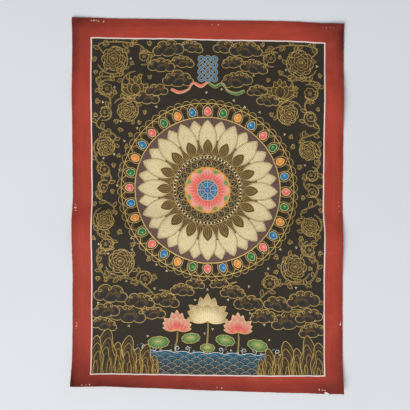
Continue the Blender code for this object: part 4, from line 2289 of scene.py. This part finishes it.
@dataclass(frozen=True)
class Pond:
    """The lotus plants and the water along the panel's foot, with cliffs at its corners."""

    painting: Painting
    panel: Panel
    water: float = -303.0  # its surface
    reach: float = 152.0  # half its width
    crest: float = 34.0  # width of one crest
    crests: int = 4  # to each side of the middle
    scale: float = 25.0  # width of one wave scale
    row: float = 6.5  # height of one row of them
    flowers: tuple[Placing, ...] = placings((0, -236, 56), (-62, -256, 40), (62, -256, 40))
    pads: tuple[Placing, ...] = placings(  # round leaves, by their radius
        (-34, -272, 19, 10), (36, -274, 20, -8), (-100, -283, 22, 6), (102, -282, 21, -12), (0, -290, 15, 0)
    )
    peaks: tuple[Placing, ...] = placings(  # on the picture's left: foot and height
        (-226, -352, 78), (-204, -352, 92), (-182, -352, 66), (-160, -352, 80), (-142, -352, 56),
        (-124, -352, 64), (-108, -352, 42),
    )

    def paint(self) -> None:
        """Paints them, from the front to the back."""
        self.painting.part = "pond"
        for side in SIDES:
            for place in self.peaks:
                self.paint_peak(place.on_side(side))
        for place, body in zip(self.flowers, (Paint.CREAM, Paint.PINK, Paint.PINK)):
            LotusFlower(self.painting, place, body).draw()
        for place in self.pads:
            self.paint_pad(place)
        self.paint_crests()
        self.paint_water()
        for place in self.flowers:
            self.paint_stalk(place)

    def paint_peak(self, place: Placing) -> None:
        """One cliff: a tall lobe with lines that follow its outline.

        Args:
            place: Its foot, and its height as its size.
        """
        random = self.painting.random
        half = random.uniform(0.17, 0.22)
        crag = np.array((
            (-1.0, 0.0), (-1.15, 0.3), (-0.8, 0.52), (-0.95, 0.72), (-0.4, 0.93), (0.02 / half, 1.0),
            (0.5, 0.9), (0.62, 0.66), (1.0, 0.45), (0.85, 0.2), (1.1, 0.0),
        ))
        ridge = curve_through(crag * (half, 1.0), 8)
        lines = []
        for index, share in enumerate(np.linspace(1.0, 0.16, 8)):
            shift = 0.012 * index * random.uniform(-1, 1)
            lines.append(place.put(ridge * (share, share**0.8) + (shift, 0.0)))
            paint = Paint.BRONZE if index % 2 else Paint.GOLD
            self.painting.line(lines[-1], 0.6 if index else 1.0, paint, taper=0.8)
        self.painting.shade(lines[0], lines[::2], 2.2, 0.6, 0.1)

    def paint_pad(self, place: Placing) -> None:
        """A round lotus leaf with a wavy rim.

        Args:
            place: Its middle, with its radius as its size.
        """
        line, veins = self.painting.line, 18
        rim = place.put(lobed_ring(9, 1.0, 0.07, 1.0) * (1.0, 0.55))
        middle = place.put((0.0, 0.06))
        line(closed(rim), 1.0, level=Level.FIRST, taper=1.0)
        for index in range(veins):
            end = rim[int((index + 0.5) * len(rim) / veins)]
            handles = middle + (end - middle) * 0.4 + (0, 1.0), middle + (end - middle) * 0.7
            line(bezier(middle, *handles, end, samples=8), 0.5, level=Level.FIRST)
        self.painting.coat(rim, Paint.GREEN, tone=fading(middle, 0.8 * place.size, 0.8))

    def paint_stalk(self, place: Placing) -> None:
        """A flower's stalk, down into the water.

        Args:
            place: The flower's placing.
        """
        top, foot = (place.across, place.up), (place.across * 1.04, self.water - 6)
        stem = bezier(top, (top[0] + 4, top[1] - 20), (foot[0] - 5, foot[1] + 18), foot)
        self.painting.line(stem - (0.9, 0), 0.8)
        self.painting.line(stem + (0.9, 0), 0.8)
        self.painting.cover(between(stem - (1.2, 0), stem + (1.2, 0)))

    def paint_crests(self) -> None:
        """The curling crests on the water, with their spray."""
        painting = self.painting
        for index in range(-self.crests, self.crests + 1):
            foot = np.array((index * self.crest, self.water + 1.0))
            side = 1.0 if index % 2 else -1.0
            for size, width, shift in ((30.0, 1.1, 8.0), (15.0, 0.6, -6.0)):
                curl = size * tendril(1.0, side * 400.0, 1.9, start=90.0 - side * 50.0)
                painting.line(curl + foot - (side * shift, 1.0), width, Paint.WHITE, Level.SECOND, taper=0.4)
            painting.dot(painting.random.uniform((-8, 8), (8, 15), (5, 2)) + foot, 1.2, Paint.WHITE)

    def paint_water(self) -> None:
        """The water itself: rows of wave scales, the lower rows in front, under its wavy surface."""
        bottom = self.panel.bottom_left
        for number in range(int((self.water - bottom) / self.row) + 2):
            up = bottom - 4.0 + number * self.row
            if up > self.water - self.scale * 0.3:
                break
            for across in np.arange(-160.0 + self.scale / 2 * (number % 2), 161.0, self.scale):
                self.paint_scale(across, up)
        across, foot = (np.linspace(-self.reach, self.reach, samples) for samples in (120, 20))
        crests = self.water + 4.0 * np.abs(np.sin(np.pi * across / self.crest)) ** 0.7
        surface = np.column_stack([across, crests])
        self.painting.line(surface, 1.1, Paint.WHITE, Level.SECOND, taper=1.0)
        self.painting.coat(
            between(np.column_stack([foot, self.panel.bottom(foot) + 1.0]), surface),
            Paint.TEAL,
            tone=lambda points: 0.75 * smooth((self.water - 8.0 - points[:, 1]) / 40.0),
            spacing=3.5,
        )

    def paint_scale(self, across: float, up: float) -> None:
        """One wave scale: arcs round one point.

        Args:
            across: Its middle.
            up: Its foot.
        """
        half = self.scale / 2
        depth = (self.water - up) / (self.water - self.panel.bottom_left)
        inner = Paint.FOAM if depth < 0.55 else Paint.BRONZE
        lobes = []
        for share, width, paint in ((1.0, 0.6, Paint.GOLD), (0.7, 0.4, inner), (0.4, 0.35, inner)):
            lobes.append(arch((across - half * share, up), (across + half * share, up), 0.5))
            self.painting.line(lobes[-1], width, paint, Level.SECOND, taper=0.8)
        self.painting.coat(
            lobes[0],
            Paint.TEAL,
            tone=lambda points: 0.75 + 0.6 * depth - 0.8 * (points[:, 1] - up) / half,
            spacing=4.0,
        )


@dataclass(frozen=True)
class Blossoms:
    """Small loose blossoms scattered on the free dark ground."""

    painting: Painting
    count: int = 46
    corners: Table = ((-226, -335), (226, 326))  # the lowest and the highest of where they may be

    def paint(self) -> None:
        """Paints them."""
        painting = self.painting
        painting.part = "blossoms"
        petals = polar(1.0, np.radians((90, 210, 330)))
        for place in painting.scatter(self.corners, tries=1600, room=3.4, gap=17.0)[: self.count]:
            painting.dot(Placing(*place, 1.5, painting.random.uniform(0, 120)).put(petals), 1.9, Paint.CREAM)
            painting.dot(place, 1.0, Paint.GOLD, Level.FIRST)


# --- The sheet, its line and its lacing holes ---


class LacingHole(NamedTuple):
    """A hole that the stretcher's lacing left, in millimetres on the flat cloth."""

    across: float
    up: float
    loss: float  # rough radius of the paint lost round it


@dataclass(frozen=True)
class Lacing:
    """The holes along the sheet's edges, with the bare priming where the paint round them chipped away."""

    radius: float = 0.55  # of each hole, in millimetres
    corners: int = 14  # of each chip
    unevenness: float = 0.35
    holes: tuple[LacingHole, ...] = tuple(LacingHole(*row) for row in (
        # Along the top edge
        (-235.6, 369.2, 1.3), (-230.4, 369.4, 1.5), (-226.3, 369.6, 1.2), (-221.5, 368.2, 1.4),
        (-211.2, 368.1, 1.4), (8.3, 366.3, 0.8), (21.0, 365.7, 1.2), (232.1, 365.3, 0.7),
        (239.3, 365.7, 0.8), (246.9, 366.4, 0.7), (254.1, 365.9, 0.6),
        # The left edge
        (-268.7, -7.5, 1.1), (-268.8, -13.5, 2.0), (-268.1, -19.0, 1.2), (-266.8, -249.5, 1.1),
        (-266.8, -255.6, 1.4), (-268.6, -261.0, 1.0),
        # The right edge
        (266.3, 12.5, 0.8), (267.3, 3.8, 1.0), (268.0, -6.0, 0.9), (271.0, -230.9, 1.2),
        (270.4, -236.0, 2.0),
        # The bottom edge
        (-251.8, -371.4, 1.0), (-244.0, -371.5, 1.0), (-237.0, -370.9, 1.1), (19.1, -368.7, 1.1),
        (28.4, -369.0, 1.2), (225.3, -366.8, 1.3), (232.2, -367.6, 1.2), (237.0, -367.5, 1.1),
    ))

    def build(self, painting: Painting) -> Piece:
        """Builds the chips as ragged rings.

        Args:
            painting: The painting, which lays them on the cloth.

        Returns:
            The piece.
        """
        corners, faces = [], []
        number = np.arange(self.corners)
        after = np.roll(number, -1)
        ring = np.column_stack([number, number + self.corners, after + self.corners, after])
        inner = circle(self.radius, self.corners)
        for index, hole in enumerate(self.holes):
            ragged = painting.random.uniform(1 - self.unevenness, 1 + self.unevenness, (self.corners, 1))
            outer = circle(1.0, self.corners) * hole.loss * ragged
            too_near = np.hypot(*outer.T)[:, None] < self.radius + 0.2
            loop = np.vstack([inner, np.where(too_near, inner * 1.4, outer)]) + (hole.across, hole.up)
            corners.append(raised(loop, Level.GROUND.value))
            faces.append(ring + index * 2 * self.corners)
        return painting.join("lacing_chips", {Paint.PRIMING: make_mesh("chips", corners, [], faces)})


def zones(share: np.ndarray, stops: Sequence[np.ndarray]) -> np.ndarray:
    """Spaces grid lines zone by zone.

    Args:
        share: Where each line lies, counted in zones from 0.
        stops: The places of the zones' ends.

    Returns:
        The place of each line.
    """
    share, *stops = np.broadcast_arrays(share, *stops)
    number = np.minimum(share.astype(int), len(stops) - 2)
    low, high = np.choose(number, stops[:-1]), np.choose(number, stops[1:])
    return low + (high - low) * (share - number)


@dataclass(frozen=True)
class CanvasSheet:
    """The sheet of cloth itself, with its red border and black panel, in millimetres on the flat cloth."""

    shape: ClothShape
    panel: Panel
    lacing: Lacing
    border_lines: int = 12  # grid lines across the border, and in each direction of the panel
    panel_columns: int = 138
    panel_rows: int = 196
    raggedness: float = 0.22  # of the cut edge
    # The torn lacing hole: an oval cut that is open to the lower edge, in metres seen from above
    nick: Placing = Placing(0.2400, -0.3812, 1.0, -38.0)
    nick_size: tuple[float, float] = (0.0116, 0.0066)
    rod: tuple[float, float] = (-0.03, 0.06)  # the heights of a cutter's ends, in metres
    name: str = "canvas_sheet"

    def build(self, materials: dict[Paint, bpy.types.Material]) -> Piece:
        """Builds the sheet.

        Args:
            materials: The finishes' materials.

        Returns:
            The finished piece.
        """
        solid = add_object("solid", self.sheet_mesh())
        cutter = add_object("cutter", self.cutter_mesh())
        for paint in (Paint.BORDER, Paint.GROUND, Paint.COTTON):
            solid.data.materials.append(materials[paint])
            cutter.data.materials.append(materials[paint])
        cut = solid.modifiers.new("holes", "BOOLEAN")
        cut.operation = "DIFFERENCE"
        cut.solver = "EXACT"
        cut.object = cutter
        finished = evaluated(solid)
        bpy.data.objects.remove(cutter, do_unlink=True)
        finished.name = self.name
        finished.shade_smooth()
        finished.set_sharp_from_angle(angle=np.radians(50))
        return add_object(self.name, finished)

    def grid(self) -> tuple[np.ndarray, np.ndarray]:
        """Where the sheet's points lie.

        Returns:
            The places across and up, one row for each row of points.
        """
        side, top = self.shape.width * 500, self.shape.length * 500
        columns, rows = (self.lines(count) for count in (self.panel_columns, self.panel_rows))
        # Roughly where each line is, which is near enough to look up the panel's edges and the cut's there
        near_up = np.interp(rows, (0, 1, 2, 3), (-top, -345.0, 334.5, top))[:, None]
        near_across = np.interp(columns, (0, 1, 2, 3), (-side, -236.0, 236.5, side))[None, :]
        column_stops = (
            -side + self.rough(near_up, 0.0),
            read_table(self.panel.left, near_up),
            read_table(self.panel.right, near_up),
            side + self.rough(near_up, 2.0),
        )
        row_stops = (
            -top + self.rough(near_across, 4.0),
            self.panel.bottom(near_across),
            read_table(self.panel.top, near_across),
            top + self.rough(near_across, 6.0),
        )
        return zones(columns[None, :], column_stops), zones(rows[:, None], row_stops)

    def lines(self, panel: int) -> np.ndarray:
        """The grid lines in one direction, counted in zones: border, panel, border."""
        border = np.arange(self.border_lines) / self.border_lines
        return np.concatenate([border, 1.0 + np.arange(panel) / panel, 2.0 + border, [3.0]])

    def rough(self, place: np.ndarray, phase: float) -> np.ndarray:
        """How far the cut wanders from its line."""
        waves = sum(np.sin(place / length + phase + length) for length in (2.1, 5.3, 13.0, 31.0))
        return self.raggedness * waves / 2.0

    def sheet_mesh(self) -> Mesh:
        """The whole sheet before its holes are cut: two grids and the cut edge between them.

        Returns:
            The mesh.
        """
        across, up = self.grid()
        rows, columns = across.shape
        count = rows * columns
        flat = np.column_stack([across.ravel(), up.ravel()])
        top = self.shape.face(*(flat * MILLIMETRE).T)
        under = self.shape.underside(*(flat * MILLIMETRE).T)
        number = np.arange(count).reshape(rows, columns)
        around = (number[:-1, :-1], number[:-1, 1:], number[1:, 1:], number[1:, :-1])
        quads = np.stack(around, axis=-1).reshape(-1, 4)
        rim = np.concatenate([number[0, :-1], number[:-1, -1], number[-1, :0:-1], number[:0:-1, 0]])
        after = np.roll(rim, -1)
        walls = np.column_stack([rim + count, after + count, after, rim])
        mesh = make_mesh("sheet", [top, under], [], [quads, quads[:, ::-1] + count, walls])
        slots = np.zeros((rows - 1, columns - 1), np.int32)  # as in build: the border, the panel, the cotton
        slots[self.border_lines : -self.border_lines, self.border_lines : -self.border_lines] = 1
        slots = np.append(slots.ravel(), np.full(len(quads) + len(walls), 2, np.int32))
        mesh.polygons.foreach_set("material_index", slots)
        self.map_faces(mesh, flat, quads, len(walls))
        return mesh

    def map_faces(self, mesh: Mesh, flat: Points, quads: np.ndarray, walls: int) -> None:
        """Gives the sheet its map: the painted face large, and the underside and cut edge beside it.

        Args:
            mesh: The sheet's mesh.
            flat: Where its points lie on the flat cloth.
            quads: The faces of one side.
            walls: How many faces the cut edge has.
        """
        reach = np.array((self.shape.width, self.shape.length)) * 500 + 1
        share = (flat + reach) / (2 * reach[1])
        face = share[quads].reshape(-1, 2)
        under = share[quads[:, ::-1]].reshape(-1, 2) * 0.33 + (0.75, 0.0)
        along = np.arange(walls)[:, None] + (0, 1, 1, 0)
        strip = np.stack([along / walls, np.tile((0.0, 0.0, 0.01, 0.01), (walls, 1))], axis=-1).reshape(-1, 2)
        strip = strip * (0.24, 1.0) + (0.75, 0.4)
        mesh.uv_layers.new(name=BAKE_UV).data.foreach_set("uv", np.vstack([face, under, strip]).ravel())

    def cutter_mesh(self) -> Mesh:
        """The rods that cut the nick and the lacing holes.

        Returns:
            The mesh.
        """
        rods = [self.nick.put(circle(0.5, 28) * self.nick_size)]
        for hole in self.lacing.holes:
            place = np.array((hole.across, hole.up)) * MILLIMETRE
            middle = np.column_stack(self.shape.outline(place[:1], place[1:]))
            rods.append(circle(self.lacing.radius * MILLIMETRE, 10) + middle)
        work = bmesh.new()
        for rod in rods:
            low, high = ([work.verts.new((*point, height)) for point in rod] for height in self.rod)
            work.faces.new(low[::-1])
            work.faces.new(high)
            for index, corner in enumerate(low):
                after = (index + 1) % len(rod)
                work.faces.new((corner, low[after], high[after], high[index]))
        layer = work.loops.layers.uv.new(BAKE_UV)
        for face in work.faces:
            face.material_index = 2
            for corner in face.loops:
                corner[layer].uv = (0.8 + 0.01 * (corner.vert.co.z > 0), 0.6)
        mesh = bpy.data.meshes.new("rods")
        work.to_mesh(mesh)
        work.free()
        return mesh


@dataclass(frozen=True)
class PaleLine:
    """The thin pale line round the panel, ruled in four strokes that cross a little at the corners."""

    panel: Panel
    width: float = 2.4
    overshoot: float = 1.0
    level: tuple[float, float] = (-236.0, 237.0)  # the ends of its sides, before they overshoot
    left_upright: tuple[float, float] = (-351.0, 334.5)
    right_upright: tuple[float, float] = (-339.5, 334.5)

    def build(self, painting: Painting) -> Piece:
        """Draws it.

        Args:
            painting: The painting, whose brush it is drawn with.

        Returns:
            The piece.
        """
        over, panel = np.array((-self.overshoot, self.overshoot)), self.panel
        spans = ((self.level, 60), (self.left_upright, 80), (self.right_upright, 80))
        across, up, right_up = (np.linspace(*(span + over), samples) for span, samples in spans)
        sides = (
            (across, panel.bottom(across)),
            (read_table(panel.right, right_up), right_up),
            (across, read_table(panel.top, across)),
            (read_table(panel.left, up), up),
        )
        lines = [resample(np.column_stack(side), 2.5) for side in sides]
        strokes = [Stroke(Level.SECOND, 0, line, np.full(len(line), self.width / 2)) for line in lines]
        paint, drawing = Paint.PALE_LINE, painting.line_mesh(strokes, whole=True)
        drawn = through_tree(drawing, painting.trees.brush, painting.materials[paint])
        return painting.join("pale_line", {paint: drawn})


# --- The studio ---


@dataclass(frozen=True)
class Studio:
    """A pale floor, soft light from the lower left and a camera straight above."""

    floor_size: float = 9.0
    floor_colour: Colour = (0.748, 0.760, 0.778, 1.0)
    floor_drop: float = 0.0002
    sky_colour: Colour = (0.93, 0.96, 1.0, 1.0)
    sky_strength: float = 0.44
    key_place: tuple[float, float, float] = (-2.7, -4.4, 4.2)
    key_size: float = 5.5
    key_power: float = 452.0
    camera_place: tuple[float, float, float] = (-0.0059, 0.0004, 1.4)
    camera_lens: float = 60.55
    sensor: float = 36.0

    def build(self) -> None:
        """Builds the floor, the lights and the camera."""
        self.build_floor()
        self.build_lights()
        self.build_camera()

    def build_floor(self) -> None:
        """The plain floor, with the faintest unevenness in its tone."""
        half = self.floor_size / 2
        corners = [(x * half, y * half, -self.floor_drop) for x, y in ((-1, -1), (1, -1), (1, 1), (-1, 1))]
        floor = add_object("floor", make_mesh("floor", [corners], [], [[(0, 1, 2, 3)]]))
        material = bpy.data.materials.new("floor")
        material.use_nodes = True
        bench = NodeBench(material.node_tree)
        value = bench.step(bench.noise(bench.place(), 3.0, 3.0), 0.3, 0.7, (0.99, 1.01))
        look = {"Base Color": bench.lighten(self.floor_colour, value), "Roughness": 0.9}
        bench.feed(material.node_tree.nodes["Principled BSDF"], look | {"Specular IOR Level": 0.2})
        floor.data.materials.append(material)

    def build_lights(self) -> None:
        """The even light from all around, and the large soft light."""
        world = bpy.data.worlds.new("studio")
        world.use_nodes = True
        background = world.node_tree.nodes["Background"]
        background.inputs["Color"].default_value = self.sky_colour
        background.inputs["Strength"].default_value = self.sky_strength
        bpy.context.scene.world = world
        bpy.context.scene.view_settings.view_transform = "Standard"
        light = bpy.data.lights.new("key", "AREA")
        light.size = self.key_size
        light.energy = self.key_power
        key = add_object("key", light)
        key.location = self.key_place
        key.rotation_euler = (-Vector(self.key_place)).to_track_quat("-Z", "Y").to_euler()

    def build_camera(self) -> None:
        """The camera, which looks straight down with the picture's top at the top."""
        lens = bpy.data.cameras.new("camera")
        lens.lens = self.camera_lens
        lens.sensor_width = self.sensor
        camera = add_object("camera", lens)
        camera.location = self.camera_place
        bpy.context.scene.camera = camera


def main() -> None:
    """Builds the painting, the sheet and the studio."""
    logging.basicConfig(level=logging.INFO, format="%(name)s: %(message)s")
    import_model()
    shape, panel, lacing = ClothShape(), Panel(), Lacing()
    painting = Painting(shape, panel, ShaderGroups())
    ornaments = (
        LotusMedallion(painting), Pond(painting, panel), Sky(painting), LowClouds(painting),
        VineScrolls(painting), Blossoms(painting),
    )
    for ornament in ornaments:
        ornament.paint()
        LOG.info("%s painted", type(ornament).__name__)
    pieces = [*painting.finish(), PaleLine(panel).build(painting), lacing.build(painting)]
    sheet = CanvasSheet(shape, panel, lacing).build(painting.materials)
    for piece in (*pieces, sheet):
        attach(piece, "root")
        LOG.info("%s: %d faces", piece.name, len(piece.data.polygons))
    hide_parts("canvas")
    Studio().build()


if __name__ == "__main__":
    main()
